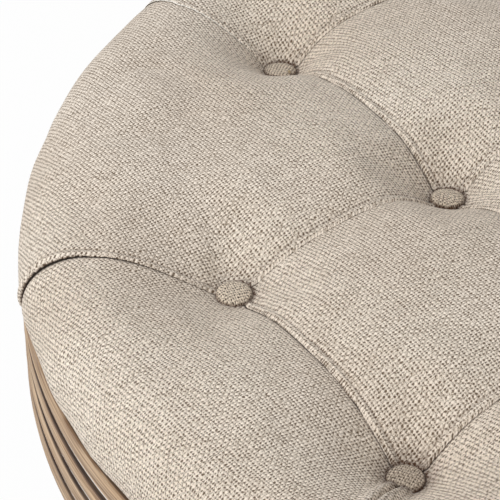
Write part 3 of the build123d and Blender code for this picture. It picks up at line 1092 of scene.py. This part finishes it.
def pleat_opening(run, pleat):
    """How far a pleat stands open at its run towards the rim; a fold never does."""
    if pleat is None:
        return np.zeros_like(run)
    return pleat_openness[pleat] * eased(run, pleat_opening_run, pleat_open_run)


def tightness(line, pleat, run):
    """How tightly a border is drawn in: some folds roll softly, and a pleat begins softly at its button."""
    if pleat is not None:
        tight = soft_pleat_start + (1 - soft_pleat_start) * eased(run, pleat_tight_run, pleat_opening_run)
        return pleat_tight_shares[pleat] * tight
    pair = tuple(sorted((nearest_button(line[0]), nearest_button(line[1]))))
    return np.full_like(run, soft_folds.get(pair, 1.0))


def lip_rise(gap, along, pleat):
    """Rise of the rolled lip where a panel laps over, with the hollow behind it."""
    rise = lip_lift * hump(gap, lip_ridge, lip_spread)
    rise -= lip_valley_depth * hump(gap, lip_valley, lip_valley_spread)
    if pleat == rolled_pleat:
        length = eased(along, roll_start, roll_full_start) * (1 - eased(along, roll_full_end, roll_end))
        rise += roll_height * length * hump(gap, roll_ridge, roll_spread)
    return rise


def lap_rise(place, middle, borders):
    """Rise and fall of the cloth beside its borders: a lip where it laps over, a drop where it is under."""
    rise = np.zeros(place.shape[:-1])
    run = np.linalg.norm(place, axis=-1)
    for line, pleat in borders:
        gap, along = measure_line(place, line)
        opening = pleat_opening(run, pleat)
        rise += rim_bulge * opening * near(gap, rim_bulge_reach) ** 2
        if laps_over(middle, line):
            rise += lip_rise(gap, along, pleat)
        else:
            drop = lap_drop * near(gap, lap_reach) ** 2
            drop += rim_lap_drop * opening * near(gap, rim_lap_reach) ** 2
            rise -= drop * (soft_drop_share + (1 - soft_drop_share) * tightness(line, pleat, run))
    return rise * rim_fade(run)


def button_seats(place):
    """How far the cloth is pressed down under the buttons."""
    away = np.min([np.linalg.norm(place - button, axis=-1) for button in all_buttons], axis=0)
    return seat_sink * (1 - eased(away, seat_floor_radius, dish_floor_radius))


def shade_at(place, middle, borders):
    """How dark the cloth is in the creases beside its borders and round the buttons."""
    shade = np.zeros(place.shape[:-1])
    run = np.linalg.norm(place, axis=-1)
    for line, pleat in borders:
        gap = measure_line(place, line)[0]
        if laps_over(middle, line):
            shade += lip_shade * hump(gap, lip_valley, lip_valley_spread)
        else:
            opening = pleat_opening(run, pleat)
            shown = np.maximum(gap - lip_width * (1 + opening), 0)
            spread = crease_spread + rim_crease_spread * opening
            # Painted shade in the crease beside a lap, darker where the border is drawn in tighter
            shade += crease_shade * tightness(line, pleat, run) * hump(shown, 0, spread)
    for button, halo_shade in zip(all_buttons, button_halos):
        away = np.linalg.norm(place - button, axis=-1)
        shade += button_shade * (1 - eased(away, dish_floor_radius, dish_floor_radius + button_ring_width))
        halo = 1 - eased(away, dish_floor_radius, dish_floor_radius + button_halo_width)
        shade += halo_shade * halo**2
    return np.clip(shade, 0, 1)


def cloth_points(place, middle, borders):
    """Places of the flat cushion brought to their points on the tufted cover, with the outward normals."""
    run = np.linalg.norm(place, axis=-1)
    azimuth = np.arctan2(place[..., 1], place[..., 0])
    radius, level, slant = cushion_profile(run)
    outward = np.stack([np.sin(slant) * np.cos(azimuth), np.sin(slant) * np.sin(azimuth), np.cos(slant)], -1)
    base = np.stack([radius * np.cos(azimuth), radius * np.sin(azimuth), level], -1)
    rise = lap_rise(place, middle, borders) + (unevenness(place) + pucker_rise(place)) * rim_fade(run)
    shift = rise - tuft_depth(place) - button_seats(place)
    return base + outward * shift[..., None], outward


def weave_places(place, shade, panel_number):
    """Places along the warp and the weft, a little turned and moved from panel to panel, with the shade."""
    turn = -weave_azimuth + panel_turn * sin(panel_number * panel_turn_step)
    shift = warp_pitch * panel_move_threads * panel_number
    return np.concatenate([turned_place(place, turn) + shift, shade[..., None]], -1)


# Laying the cover, panel by panel

Panel = namedtuple("Panel", "numbers points outward place")


class Cloth:
    """Points, weave places and faces of a soft piece as it is laid out."""

    def __init__(self):
        self.points = []
        self.weave = []
        self.faces = []
        self.count = 0

    def add(self, points, weave_place):
        """Adds a grid of points and gives their numbers."""
        numbers = self.count + np.arange(points[..., 0].size).reshape(points.shape[:-1])
        self.points.append(points.reshape(-1, 3))
        self.weave.append(weave_place.reshape(-1, 3))
        self.count += numbers.size
        return numbers

    def add_ring(self, ring):
        """Adds a ring of points that ends where it starts, and gives their numbers."""
        numbers = self.add(ring[:-1], ring[:-1] * np.array([1.0, 1.0, 0.0]))
        return np.append(numbers, numbers[0])

    def join(self, numbers):
        """Fills a grid of point numbers with four-sided faces."""
        corners = [numbers[:-1, :-1], numbers[:-1, 1:], numbers[1:, 1:], numbers[1:, :-1]]
        self.faces.extend(np.stack(corners, -1).reshape(-1, 4).tolist())

    def close(self, ring, point):
        """Fills a ring of point numbers with three-sided faces that meet at a point."""
        pole = int(self.add(point[None, None], np.zeros((1, 1, 3)))[0, 0])
        self.faces.extend([int(first), int(second), pole] for first, second in zip(ring, ring[1:]))

    def mesh(self, name, material):
        """The piece, with its weave places kept on its points and all its faces turned outwards."""
        data = bpy.data.meshes.new(name)
        data.from_pydata(np.concatenate(self.points).tolist(), [], self.faces)
        layer = data.attributes.new("weave", "FLOAT_VECTOR", "POINT")
        layer.data.foreach_set("vector", np.concatenate(self.weave).astype(np.float32).ravel())
        data.materials.append(material)
        data.validate()
        close_form(data)
        return put_in_scene(name, data)


def close_form(data):
    """Closes a mesh, turns its faces outwards and makes them smooth."""
    work = bmesh.new()
    work.from_mesh(data)
    bmesh.ops.remove_doubles(work, verts=work.verts, dist=lip_thickness / 1000)
    open_edges = [edge for edge in work.edges if edge.is_boundary]
    bmesh.ops.holes_fill(work, edges=open_edges, sides=0)
    bmesh.ops.recalc_face_normals(work, faces=work.faces)
    work.to_mesh(data)
    work.free()
    data.polygons.foreach_set("use_smooth", [True] * len(data.polygons))
    data.update()


def graded_shares(steps):
    """Shares from zero to one whose steps grow evenly from both ends to the middle."""
    half = np.expm1(fold_grading * np.arange(steps // 2 + 1))
    half = half / half[-1] / 2
    return np.concatenate([half, 1 - half[-2::-1]])


def along_line(start, end):
    """Places between two buttons, close together near both."""
    share = graded_shares(fold_steps)[:, None]
    return start * (1 - share) + end * share


def lay_square(cloth, corners, borders, number):
    """A square panel; its grid's outer rows are its four sides."""
    share = graded_shares(fold_steps)
    s, t = np.meshgrid(share, share, indexing="ij")
    s, t = s[..., None], t[..., None]
    place = (1 - s) * ((1 - t) * corners[0] + t * corners[1]) + s * ((1 - t) * corners[3] + t * corners[2])
    middle = np.mean(corners, axis=0)
    points, outward = cloth_points(place, middle, borders)
    numbers = cloth.add(points, weave_places(place, shade_at(place, middle, borders), number))
    cloth.join(numbers)
    return Panel(numbers, points, outward, place)


def sector_places(inner_line, low_azimuth, high_azimuth, shares):
    """Places of an outer panel, from its inner border over the brow to the rim."""
    azimuth = low_azimuth + (high_azimuth - low_azimuth) * shares
    brow = crown_end_radius * around_axis(azimuth + pleat_lean / 2)
    step = np.linspace(0, 1, crown_steps + 1)[:, None, None] ** crown_grading
    crown = inner_line * (1 - step) + brow * step
    down = np.linspace(0, 1, shoulder_steps + 1)[1:, None]
    run = crown_end_radius + (cushion_run - crown_end_radius) * down
    shoulder = run[..., None] * around_axis(azimuth + pleat_lean / 2 * (1 + down))
    return np.concatenate([crown, shoulder])


def ring_points(around, rings):
    """Level rings of points, one for each radius and level, in the directions given."""
    levels = [np.full((len(around), 1), level) for _, level in rings]
    return np.stack([np.concatenate([around * ring[0], level], -1) for ring, level in zip(rings, levels)])


def repeated(rows, count):
    """The last of some rows, as many times as needed."""
    return np.repeat(rows[-1:], count, axis=0)


def lay_sector(cloth, inner_line, azimuths, shares, borders, number):
    """An outer panel with its hem over the rail and under the deck; its side columns are its pleats."""
    place = sector_places(inner_line, *azimuths, shares)
    middle = place.mean(axis=(0, 1))
    points, outward = cloth_points(place, middle, borders)
    shade = shade_at(place, middle, borders)
    around = around_axis(np.arctan2(place[-1, :, 1], place[-1, :, 0]))
    rings = ((hem_radius, rail_top + soft_gap), (hem_radius, hem_low), (hem_inner_radius, hem_low))
    hem_runs = cushion_run + (tuck_radius - hem_radius) + np.arange(len(rings))[:, None] * hem_width
    points = np.concatenate([points, ring_points(around, rings)])
    outward = np.concatenate([outward, repeated(outward, len(rings))])
    place = np.concatenate([place, hem_runs[..., None] * around])
    shade = np.concatenate([shade, repeated(shade, len(rings))])
    numbers = cloth.add(points, weave_places(place, shade, number))
    cloth.join(numbers)
    return Panel(numbers, points, outward, place)


def border_row(panel, row):
    """One border of a panel: a row or column of its grid."""
    return Panel(*(part[row] for part in panel))


def keep_side(folded, panel, row, start, end):
    """Notes a panel's side under the fold it lies on, with whether it laps over and its panel's middle."""
    ends = (nearest_button(start), nearest_button(end))
    side = border_row(panel, row)
    if ends[0] > ends[1]:
        side = Panel(*(part[::-1] for part in side))
    over = laps_over(panel.place.mean(axis=(0, 1)), (start, end))
    folded.setdefault(tuple(sorted(ends)), []).append((over, side, panel.points.mean(axis=(0, 1))))


def lay_squares(cloth, folded):
    """The middle panel and the four on the diagonals."""
    local = np.array([tuft_spacing, tuft_spacing])
    centres = [np.zeros(2)] + [turned_place(local, quarter * pi / 2) for quarter in range(4)]
    rows = (np.s_[0, :], np.s_[:, -1], np.s_[-1, ::-1], np.s_[::-1, 0])
    for number, centre in enumerate(centres):
        regular = [centre + on_circle(tuft_spacing, quarter * pi / 2) for quarter in range(4)]
        corners = [all_buttons[nearest_button(corner)] for corner in regular]
        lines = list(zip(corners, corners[1:] + corners[:1]))
        panel = lay_square(cloth, corners, [(line, None) for line in lines], number)
        for row, line in zip(rows, lines):
            keep_side(folded, panel, row, *line)
    return len(centres)


def lay_axis_sector(cloth, folded, quarter, number):
    """The outer panel across an axis, between two pleats and outside two folds."""
    turn = quarter * pi / 2
    low, high = 2 * quarter, 2 * quarter + 1
    low_fold = (outer_buttons[low], inner_buttons[quarter])
    high_fold = (inner_buttons[quarter], outer_buttons[high])
    inner = np.concatenate([along_line(*low_fold), along_line(*high_fold)[1:]])
    half = graded_shares(fold_steps) / 2
    shares = np.concatenate([half, half[1:] + 0.5])
    borders = [(low_fold, None), (high_fold, None), (pleats[low], low), (pleats[high], high)]
    azimuths = (turn - pleat_azimuth, turn + pleat_azimuth)
    panel = lay_sector(cloth, inner, azimuths, shares, borders, number)
    keep_side(folded, panel, np.s_[0, : fold_steps + 1], *low_fold)
    keep_side(folded, panel, np.s_[0, fold_steps:], *high_fold)
    return panel


def lay_corner_sector(cloth, folded, quarter, number):
    """The outer panel across a diagonal, between two pleats and outside one fold."""
    turn = quarter * pi / 2
    high, after = 2 * quarter + 1, (2 * quarter + 2) % len(outer_buttons)
    fold = (outer_buttons[high], outer_buttons[after])
    borders = [(fold, None), (pleats[high], high), (pleats[after], after)]
    azimuths = (turn + pleat_azimuth, turn + pi / 2 - pleat_azimuth)
    panel = lay_sector(cloth, along_line(*fold), azimuths, graded_shares(fold_steps), borders, number)
    keep_side(folded, panel, np.s_[0, :], *fold)
    return panel


def lay_lip(cloth, over, under, towards, growth, tight, pale=0.0):
    """The rolled lip that joins a panel's border, laid over, to its neighbour's border beneath."""
    x, y = over.place[:, 0], over.place[:, 1]
    beat = np.sin(lip_beat * x + lip_beat_sway * np.sin(lip_beat_drift * y)) * np.sin(lip_beat_length * y)
    beat = 1 + lip_unevenness * beat
    run_direction = np.gradient(over.points, axis=0)
    run_direction /= np.linalg.norm(run_direction, axis=-1, keepdims=True) + nearly_nothing
    across = np.cross(over.outward, run_direction)
    across *= np.sign((across * towards).sum(-1, keepdims=True))
    rows = [over.numbers]
    for (aside_share, down_share), dark in zip(lip_shares, lip_shades):
        aside = (lip_width * aside_share * (1 + growth) * beat)[:, None]
        down = (lip_thickness * tight**0.5 * down_share * (1 + rim_lip_growth * growth))[:, None]
        points = over.points + across * aside - over.outward * down
        rows.append(cloth.add(points, lip_weave(cloth, over.numbers, aside, dark * tight, pale)))
    rows.append(under.numbers)
    cloth.join(np.stack(rows))
    return np.stack(rows)


def lip_weave(cloth, numbers, aside, dark, pale):
    """Weave places of a row, moved on along the warp, set in the shade, and paler for a painted highlight on
    its frayed edge.
    """
    moved = np.concatenate(cloth.weave)[numbers] + aside * np.array(lip_weave_shares)
    moved[..., 2] = np.maximum(moved[..., 2], dark) - pale
    return moved


def join_fold(cloth, pair):
    """The lip along a fold, from the panel that laps over to the one beneath."""
    (_, over, _), (_, under, under_middle) = sorted(pair, key=lambda side: side[0], reverse=True)
    run = np.linalg.norm(over.place, axis=-1)
    tight = tightness((over.place[0], over.place[-1]), None, run)
    lay_lip(cloth, over, under, under_middle - over.points, np.zeros_like(run), tight)


def join_pleat(cloth, first_panel, second_panel, pleat):
    """The lip along the pleat between two outer panels, thicker towards the rim; gives its last points."""
    first_over = first_panel.place.mean(axis=(0, 1))[1] > second_panel.place.mean(axis=(0, 1))[1]
    over = border_row(first_panel, np.s_[:, -1])
    under = border_row(second_panel, np.s_[:, 0])
    under_panel = second_panel
    if not first_over:
        over, under, under_panel = under, over, first_panel
    run = np.linalg.norm(over.place, axis=-1)
    middle = under_panel.points[:, under_panel.points.shape[1] // 2]
    # Painted highlight along this pleat's lip edge, growing towards the rim
    pale = pleat_edge_highlight_shares[pleat] * eased(run, pleat_tight_run, pleat_opening_run)
    opening = pleat_opening(run, pleat)
    rows = lay_lip(cloth, over, under, middle - over.points, opening, tightness(None, pleat, run), pale)
    last = rows[1:-1, -1]
    return (last if first_over else last[::-1]).tolist()


def sunk_ring(around, run, radius, level, well_spread):
    """A ring of points at a radius and a level, drawn in as the tufting draws the cloth at this run."""
    sunk = level - tuft_depth(around * run, well_spread)
    return np.concatenate([around * radius[:, None], sunk[:, None]], -1)


def lay_lining(cloth, ring):
    """The inner side of the cover, from the hem's edge round the deck and up under the padding."""
    ring = np.array(ring + ring[:1])
    everything = np.concatenate(cloth.points)[ring]
    around = around_axis(np.arctan2(everything[:, 1], everything[:, 0]))
    wrap_radius = deck_radius + soft_gap
    rings = ((hem_inner_radius, deck_low), (wrap_radius, deck_low), (wrap_radius, rail_top))
    rows = list(ring_points(around, rings))
    for run in np.linspace(crown_end_radius + shoulder_run, crown_end_radius / lining_steps, lining_steps):
        radius, level, _ = cushion_profile(np.full(len(around), run), padding_thickness)
        rows.append(sunk_ring(around, run, radius, level, hidden_well_spread))
    numbers = [ring] + [cloth.add_ring(row) for row in rows]
    cloth.join(np.stack(numbers))
    cloth.close(numbers[-1], np.array([0.0, 0.0, top_level - padding_thickness]))


def lay_cover():
    """The whole tufted cover as one closed form: squares, outer panels, lips, hem and lining."""
    cloth = Cloth()
    folded = {}
    number = lay_squares(cloth, folded)
    panels = []
    for quarter in range(4):
        for lay_panel in (lay_axis_sector, lay_corner_sector):
            panels.append(lay_panel(cloth, folded, quarter, number + len(panels)))
    for pair in folded.values():
        join_fold(cloth, pair)
    ring = []
    for index, (panel, next_panel) in enumerate(zip(panels, panels[1:] + panels[:1])):
        ring.extend(panel.numbers[-1].tolist())
        ring.extend(join_pleat(cloth, panel, next_panel, (index + 1) % len(pleats)))
    lay_lining(cloth, ring)
    return cloth


# Letting the cover swell between its folds


def border_gap(places):
    """Distance in plan from places to the nearest fold, pleat or button."""
    gap = np.full(len(places), np.inf)
    for line in [(all_buttons[start], all_buttons[end]) for start, end in folds] + pleats:
        gap = np.minimum(gap, measure_line(places, line)[0])
    for button in all_buttons:
        gap = np.minimum(gap, np.linalg.norm(places - button, axis=-1) - dish_floor_radius)
    return gap


def read_points(data, kind="co"):
    """The places or the normals of a mesh's points."""
    flat = np.empty(3 * len(data.vertices), np.float32)
    data.vertices.foreach_get(kind, flat)
    return flat.reshape(-1, 3).astype(float)


def evaluated(piece):
    """A piece as its modifiers leave it at this frame."""
    return piece.evaluated_get(bpy.context.evaluated_depsgraph_get())


def coarse_copy(piece):
    """A copy of a closed piece with an even, coarse mesh."""
    coarse = put_in_scene("coarse_cover", piece.data.copy())
    remesh = coarse.modifiers.new("Even mesh", "REMESH")
    remesh.mode = "VOXEL"
    remesh.voxel_size = cloth_voxel
    data = bpy.data.meshes.new_from_object(evaluated(coarse))
    coarse.modifiers.clear()
    coarse.data = data
    return coarse


def make_cloth(coarse, free):
    """Turns the coarse cover to cloth under pressure, pinned where it isn't free."""
    pins = coarse.vertex_groups.new(name="pins")
    pins.add(np.flatnonzero(free == 0).tolist(), 1.0, "REPLACE")
    for number in np.flatnonzero((free > 0) & (free < 1)).tolist():
        pins.add([number], 1 - float(free[number]), "REPLACE")
    cloth = coarse.modifiers.new("Cloth", "CLOTH")
    settings = cloth.settings
    settings.quality = cloth_quality
    settings.mass = cloth_mass
    settings.tension_stiffness = cloth_stiffness
    settings.compression_stiffness = cloth_stiffness
    settings.bending_stiffness = cloth_bending
    settings.shrink_min = -cloth_slack
    settings.vertex_group_mass = "pins"
    settings.use_pressure = True
    settings.uniform_pressure_force = cloth_pressure
    settings.effector_weights.gravity = 0.0
    cloth.collision_settings.use_collision = False
    cloth.point_cache.frame_start = 1
    cloth.point_cache.frame_end = cloth_frames


def swelling(piece):
    """Where the points of a coarse copy of the cover lie, and how far its filling moves them."""
    coarse = coarse_copy(piece)
    before = read_points(coarse.data)
    facing = read_points(coarse.data, "normal")
    free = eased(border_gap(before[:, :2]), cloth_pin_gap, cloth_free_gap)
    free = free * (facing[:, 2] > cloth_facing) * (before[:, 2] > rail_top + cloth_clearance)
    make_cloth(coarse, free)
    for number in range(1, cloth_frames + 1):
        bpy.context.scene.frame_set(number)
    moves = (read_points(evaluated(coarse).data) - before) * free[:, None]
    bpy.context.scene.frame_set(1)
    bpy.data.objects.remove(coarse)
    length = np.linalg.norm(moves, axis=-1, keepdims=True)
    moves *= np.minimum(1, cloth_cap / np.maximum(length, cloth_cap / 1000))
    top = (facing[:, 2] > cloth_facing) & (before[:, 2] > rail_top)
    return before[top], moves[top]


def smoothed_grid(places, moves, cell, count):
    """Moves gathered in a square grid in plan and smoothed; a cell with none nearby stays at zero."""
    cells = np.floor(places[:, :2] / cell + count / 2).astype(int)
    total = np.zeros((count, count, 4))
    np.add.at(total, (cells[:, 0], cells[:, 1]), np.concatenate([moves, np.ones((len(moves), 1))], -1))
    for _ in range(cloth_blur):
        for axis in (0, 1):
            total = (np.roll(total, 1, axis) + 2 * total + np.roll(total, -1, axis)) / 4
    return total[..., :3] / np.maximum(total[..., 3:], cloth_least_count)


def spread_moves(places, moves, points):
    """Moves for points, read from the moves at places by way of a smoothed grid in plan."""
    cell = cloth_voxel / 2
    count = int(2 * (cushion_radius + cloth_free_gap) / cell)
    grid = smoothed_grid(places, moves, cell, count)
    spot = points[:, :2] / cell + count / 2 - 0.5
    corner = np.floor(spot).astype(int)
    share = spot - corner
    result = np.zeros((len(points), 3))
    for right in (0, 1):
        for back in (0, 1):
            weight = np.abs(1 - right - share[:, 0]) * np.abs(1 - back - share[:, 1])
            result += weight[:, None] * grid[corner[:, 0] + right, corner[:, 1] + back]
    return result


def settle(piece):
    """Lets the cover swell between its folds, as a coarse copy of it does in a cloth simulation."""
    places, moves = swelling(piece)
    points = read_points(piece.data)
    facing = read_points(piece.data, "normal")
    free = eased(border_gap(points[:, :2]), cloth_pin_gap, cloth_free_gap)
    free = free * eased(points[:, 2], rail_top + cloth_clearance / 2, rail_top + cloth_clearance)
    free = free * (facing[:, 2] > 0)
    points += free[:, None] * spread_moves(places, moves, points)
    piece.data.vertices.foreach_set("co", points.astype(np.float32).ravel())
    piece.data.update()


cover = lay_cover().mesh("linen_cover", linen_cloth)
settle(cover)
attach(cover, "root")
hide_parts("quilted_cover")


# Foam

foam_spokes = 128
foam_rings = 60
foam_hole_radius = 0.002


def foam_pad():
    """The foam under the cover, pitted where the buttons pull."""
    cloth = Cloth()
    around = around_axis(np.linspace(0, tau, foam_spokes + 1))
    inset = 2 * padding_thickness
    rows = []
    for run in np.linspace(foam_hole_radius, crown_end_radius + shoulder_run, foam_rings):
        radius, level, _ = cushion_profile(np.full(len(around), run), inset)
        overhang = (cushion_radius - inset - deck_radius) * eased(level, rail_top, edge_level)
        radius = np.minimum(radius, deck_radius + overhang)
        rows.append(sunk_ring(around, run, radius, level, hidden_well_spread + padding_thickness))
    foot = deck_top + soft_gap
    rows.extend(ring_points(around, ((deck_radius, rail_top), (deck_radius, foot), (foam_hole_radius, foot))))
    cloth.join(np.stack([cloth.add_ring(row) for row in rows]))
    return cloth.mesh("foam_pad", foam_cells)


foam_piece = foam_pad()
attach(foam_piece, "root")
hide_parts("foam_core")


# Covered buttons

button_radius = 0.0135
button_rise = button_box[1].z - button_box[0].z
button_rings = 26
button_spokes = 72
button_side_power = 0.92
button_dome_power = 0.62
button_thread_turn = 0.9
gather_count = 14
gather_depth = 0.00022
gather_start_share = 0.58
gather_turn = 2.1
gather_sway = 0.8
gather_sway_count = 3
button_rim_start = 0.6
button_rim_end = 0.9


def lay_button(cloth, number):
    """One button: a dome of cloth, gathered a little round the edge and closed below."""
    x, y = all_buttons[number]
    seat = seat_level + button_lifts[number] - seat_sink
    azimuth = np.linspace(0, tau, button_spokes + 1)[:-1]
    share, spoke = np.meshgrid(np.linspace(0, 1, button_rings), azimuth, indexing="ij")
    sway = gather_sway * np.sin(gather_sway_count * spoke + number)
    gather = gather_depth * np.sin(gather_count * spoke + gather_turn * number + sway)
    radius = button_radius * np.sin(share * pi / 2) ** button_side_power
    radius = radius + gather * eased(share, gather_start_share, 1.0)
    level = button_rise * np.cos(share * pi / 2) ** button_dome_power
    level = level - button_tilts[number] * radius * np.sin(spoke)
    points = np.stack([x + radius * np.cos(spoke), y + radius * np.sin(spoke), seat + level], -1)
    turned = spoke + button_thread_turn * number - weave_azimuth
    # Painted shade: the rim darkens towards the cloth it sinks into, and a button in a deep well is darker
    # all over
    rim = button_shades[number] + button_shade * eased(share, button_rim_start, button_rim_end)
    flat = np.stack([radius * np.cos(turned), radius * np.sin(turned), rim], -1)
    numbers = cloth.add(points, flat + np.array([button_box[1].x * number, 0.0, 0.0]))
    numbers = np.concatenate([numbers, numbers[:, :1]], axis=1)
    cloth.join(numbers)
    cloth.close(numbers[-1], np.array([x, y, seat]))


def covered_buttons():
    """The twelve buttons as one piece."""
    cloth = Cloth()
    for number in range(len(all_buttons)):
        lay_button(cloth, number)
    return cloth.mesh("covered_buttons", button_cloth)


buttons = covered_buttons()
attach(buttons, "root")
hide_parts("tuft_buttons")


# Dust cover and its staples

dust_radius = dust_box[1].x
dust_thickness = dust_box[1].z - dust_box[0].z
dust_spokes = 128
staple_count = 48
staple_width = 0.010
staple_wire = 0.0006
staple_sides = 6
staple_inset = 0.006
staple_turn = radians(12)
staple_turn_step = 5.3
nearly_up = (0.01, 0.01, 1.01)
staple_shares = ((-1, 1), (-0.92, 0.1), (-0.5, 0), (0, 0), (0.5, 0), (0.92, 0.1), (1, 1))


def dust_cover():
    """The black cloth stretched under the rail, drawn whole: the legs pass through it."""
    rim = [on_circle(dust_radius, number * tau / dust_spokes) for number in range(dust_spokes)]
    data = bpy.data.meshes.new("dust_cloth_cover")
    data.from_pydata([(x, y, dust_box[1].z) for x, y in rim], [], [range(dust_spokes)])
    data.materials.append(black_cloth)
    piece = put_in_scene("dust_cloth_cover", data)
    thick = piece.modifiers.new("thickness", "SOLIDIFY")
    thick.thickness = dust_thickness
    thick.offset = 0
    return piece


dust_piece = dust_cover()
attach(dust_piece, "root")
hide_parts("dust_cover")


def tube(points, radius, count):
    """Points and faces of a level wire with this many sides along a line of points."""
    points = np.array(points)
    heading = np.gradient(points, axis=0)
    heading /= np.linalg.norm(heading, axis=-1, keepdims=True)
    vertices, faces = [], []
    for point, way in zip(points, heading):
        side = np.cross(way, nearly_up)
        side /= np.linalg.norm(side)
        lift = np.cross(side, way)
        for corner in range(count):
            angle = corner * tau / count
            vertices.append(point + radius * (side * cos(angle) + lift * sin(angle)))
    for row in range(len(points) - 1):
        low, high = row * count, (row + 1) * count
        for corner in range(count):
            following = (corner + 1) % count
            faces.append([low + corner, low + following, high + following, high + corner])
    faces.append(list(range(count))[::-1])
    faces.append([(len(points) - 1) * count + corner for corner in range(count)])
    return vertices, faces


def staple_line(number):
    """The line of one staple's wire, its legs turned up into the rail."""
    azimuth = (number + 0.5) * tau / staple_count
    middle = on_circle(dust_radius - staple_inset, azimuth)
    along = on_circle(staple_width / 2, azimuth + pi / 2 + staple_turn * sin(staple_turn_step * number))
    level = dust_box[1].z - dust_thickness - staple_wire / 2
    return [(*(middle + along * share), level + drop * dust_thickness) for share, drop in staple_shares]


def staples():
    """Wire staples that hold the dust cover to the rail."""
    vertices, faces = [], []
    for number in range(staple_count):
        points, sides = tube(staple_line(number), staple_wire / 2, staple_sides)
        faces += [[len(vertices) + corner for corner in side] for side in sides]
        vertices += points
    data = bpy.data.meshes.new("dust_cover_staples")
    data.from_pydata([tuple(point) for point in vertices], [], faces)
    data.materials.append(screw_steel)
    return put_in_scene("dust_cover_staples", data)


staple_piece = staples()
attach(staple_piece, "root")


# Studio

floor_reach = 12.0
floor_glow_share = 0.95
world_strength = 0.57
key_lamp_place = (-2.2, -0.7, 2.3)
key_lamp_aim = (-0.1, -0.1, 0.4)
key_lamp_size = 1.4
key_lamp_power = 45.0
fill_lamp_place = (0.2, -2.6, 1.6)
fill_lamp_aim = (-0.1, 0.0, 0.4)
fill_lamp_size = 1.8
fill_lamp_power = 14.0


def seen_directly(tree):
    """One for what the camera sees, also by way of a reflection or through glass."""
    rays = tree.nodes.new("ShaderNodeLightPath")
    kinds = ("Is Camera Ray", "Is Glossy Ray", "Is Transmission Ray")
    camera, glossy, through = (Flow(tree, rays.outputs[kind]) for kind in kinds)
    return (camera + glossy).calc("ADD", through, clamp=True)


def studio_floor():
    """A white floor that keeps the table's shadow and shows white to the camera and in reflections."""
    corners = [(x * floor_reach, y * floor_reach, 0) for x, y in ((-1, -1), (1, -1), (1, 1), (-1, 1))]
    data = bpy.data.meshes.new("studio_floor")
    data.from_pydata(corners, [], [(0, 1, 2, 3)])
    material, tree, shader = new_material("Studio floor")
    white = mixed(object_place(tree).noise(3.0), (0.86, 0.86, 0.86, 1.0), (0.9, 0.9, 0.9, 1.0))
    fill(tree, shader, {"Base Color": white, "Roughness": 0.9, "Specular IOR Level": 0.1})
    share = seen_directly(tree) * floor_glow_share
    glow = flow(tree, "ShaderNodeEmission", 0, {"Color": (1.0, 1.0, 1.0, 1.0), "Strength": 1.0})
    both = flow(tree, "ShaderNodeMixShader", 0, {0: share, 1: Flow(tree, shader.outputs[0]), 2: glow})
    fill(tree, tree.nodes["Material Output"], {"Surface": both})
    data.materials.append(material)
    put_in_scene("studio_floor", data)


def studio_world():
    """An even soft white all round."""
    world = bpy.data.worlds.new("Studio")
    bpy.context.scene.world = world
    world.use_nodes = True
    tree = world.node_tree
    strength = seen_directly(tree).ramp(0.0, 1.0, world_strength, 1.0)
    fill(tree, tree.nodes["Background"], {"Color": (1.0, 1.0, 1.0, 1.0), "Strength": strength})


def soft_lamp(name, place, aim, size, power):
    """A square area lamp turned to a point."""
    data = bpy.data.lights.new(name, "AREA")
    data.size = size
    data.energy = power
    lamp = put_in_scene(name, data)
    lamp.location = place
    lamp.rotation_mode = "QUATERNION"
    lamp.rotation_quaternion = (Vector(aim) - Vector(place)).to_track_quat("-Z", "Y")


studio_floor()
studio_world()
soft_lamp("key_lamp", key_lamp_place, key_lamp_aim, key_lamp_size, key_lamp_power)
soft_lamp("fill_lamp", fill_lamp_place, fill_lamp_aim, fill_lamp_size, fill_lamp_power)


# Camera, with its lens and film in millimetres

view_azimuth = radians(9.44)
view_elevation = radians(40.55)
view_roll = radians(0.28)
view_distance = 1.76377
view_aim = Vector((-0.29656, 0.03488, 0.3115))
view_lens = 158.8
film_width = 36.0
nearest_view = 0.05
farthest_view = 60.0


def photo_camera():
    """The camera at the photograph's angle."""
    flat = cos(view_elevation)
    back = Vector((sin(view_azimuth) * flat, -cos(view_azimuth) * flat, sin(view_elevation)))
    right = Vector((cos(view_azimuth), sin(view_azimuth), 0))
    up = back.cross(right)
    rolled_right = right * cos(view_roll) + up * sin(view_roll)
    rolled_up = up * cos(view_roll) - right * sin(view_roll)
    data = bpy.data.cameras.new("photo_camera")
    data.sensor_width = film_width
    data.lens = view_lens
    data.clip_start = nearest_view
    data.clip_end = farthest_view
    camera = put_in_scene("photo_camera", data)
    axes = Matrix((rolled_right, rolled_up, back)).transposed()
    camera.matrix_world = Matrix.Translation(view_aim + back * view_distance) @ axes.to_4x4()
    bpy.context.scene.camera = camera


photo_camera()
bpy.context.scene.view_settings.view_transform = "Standard"
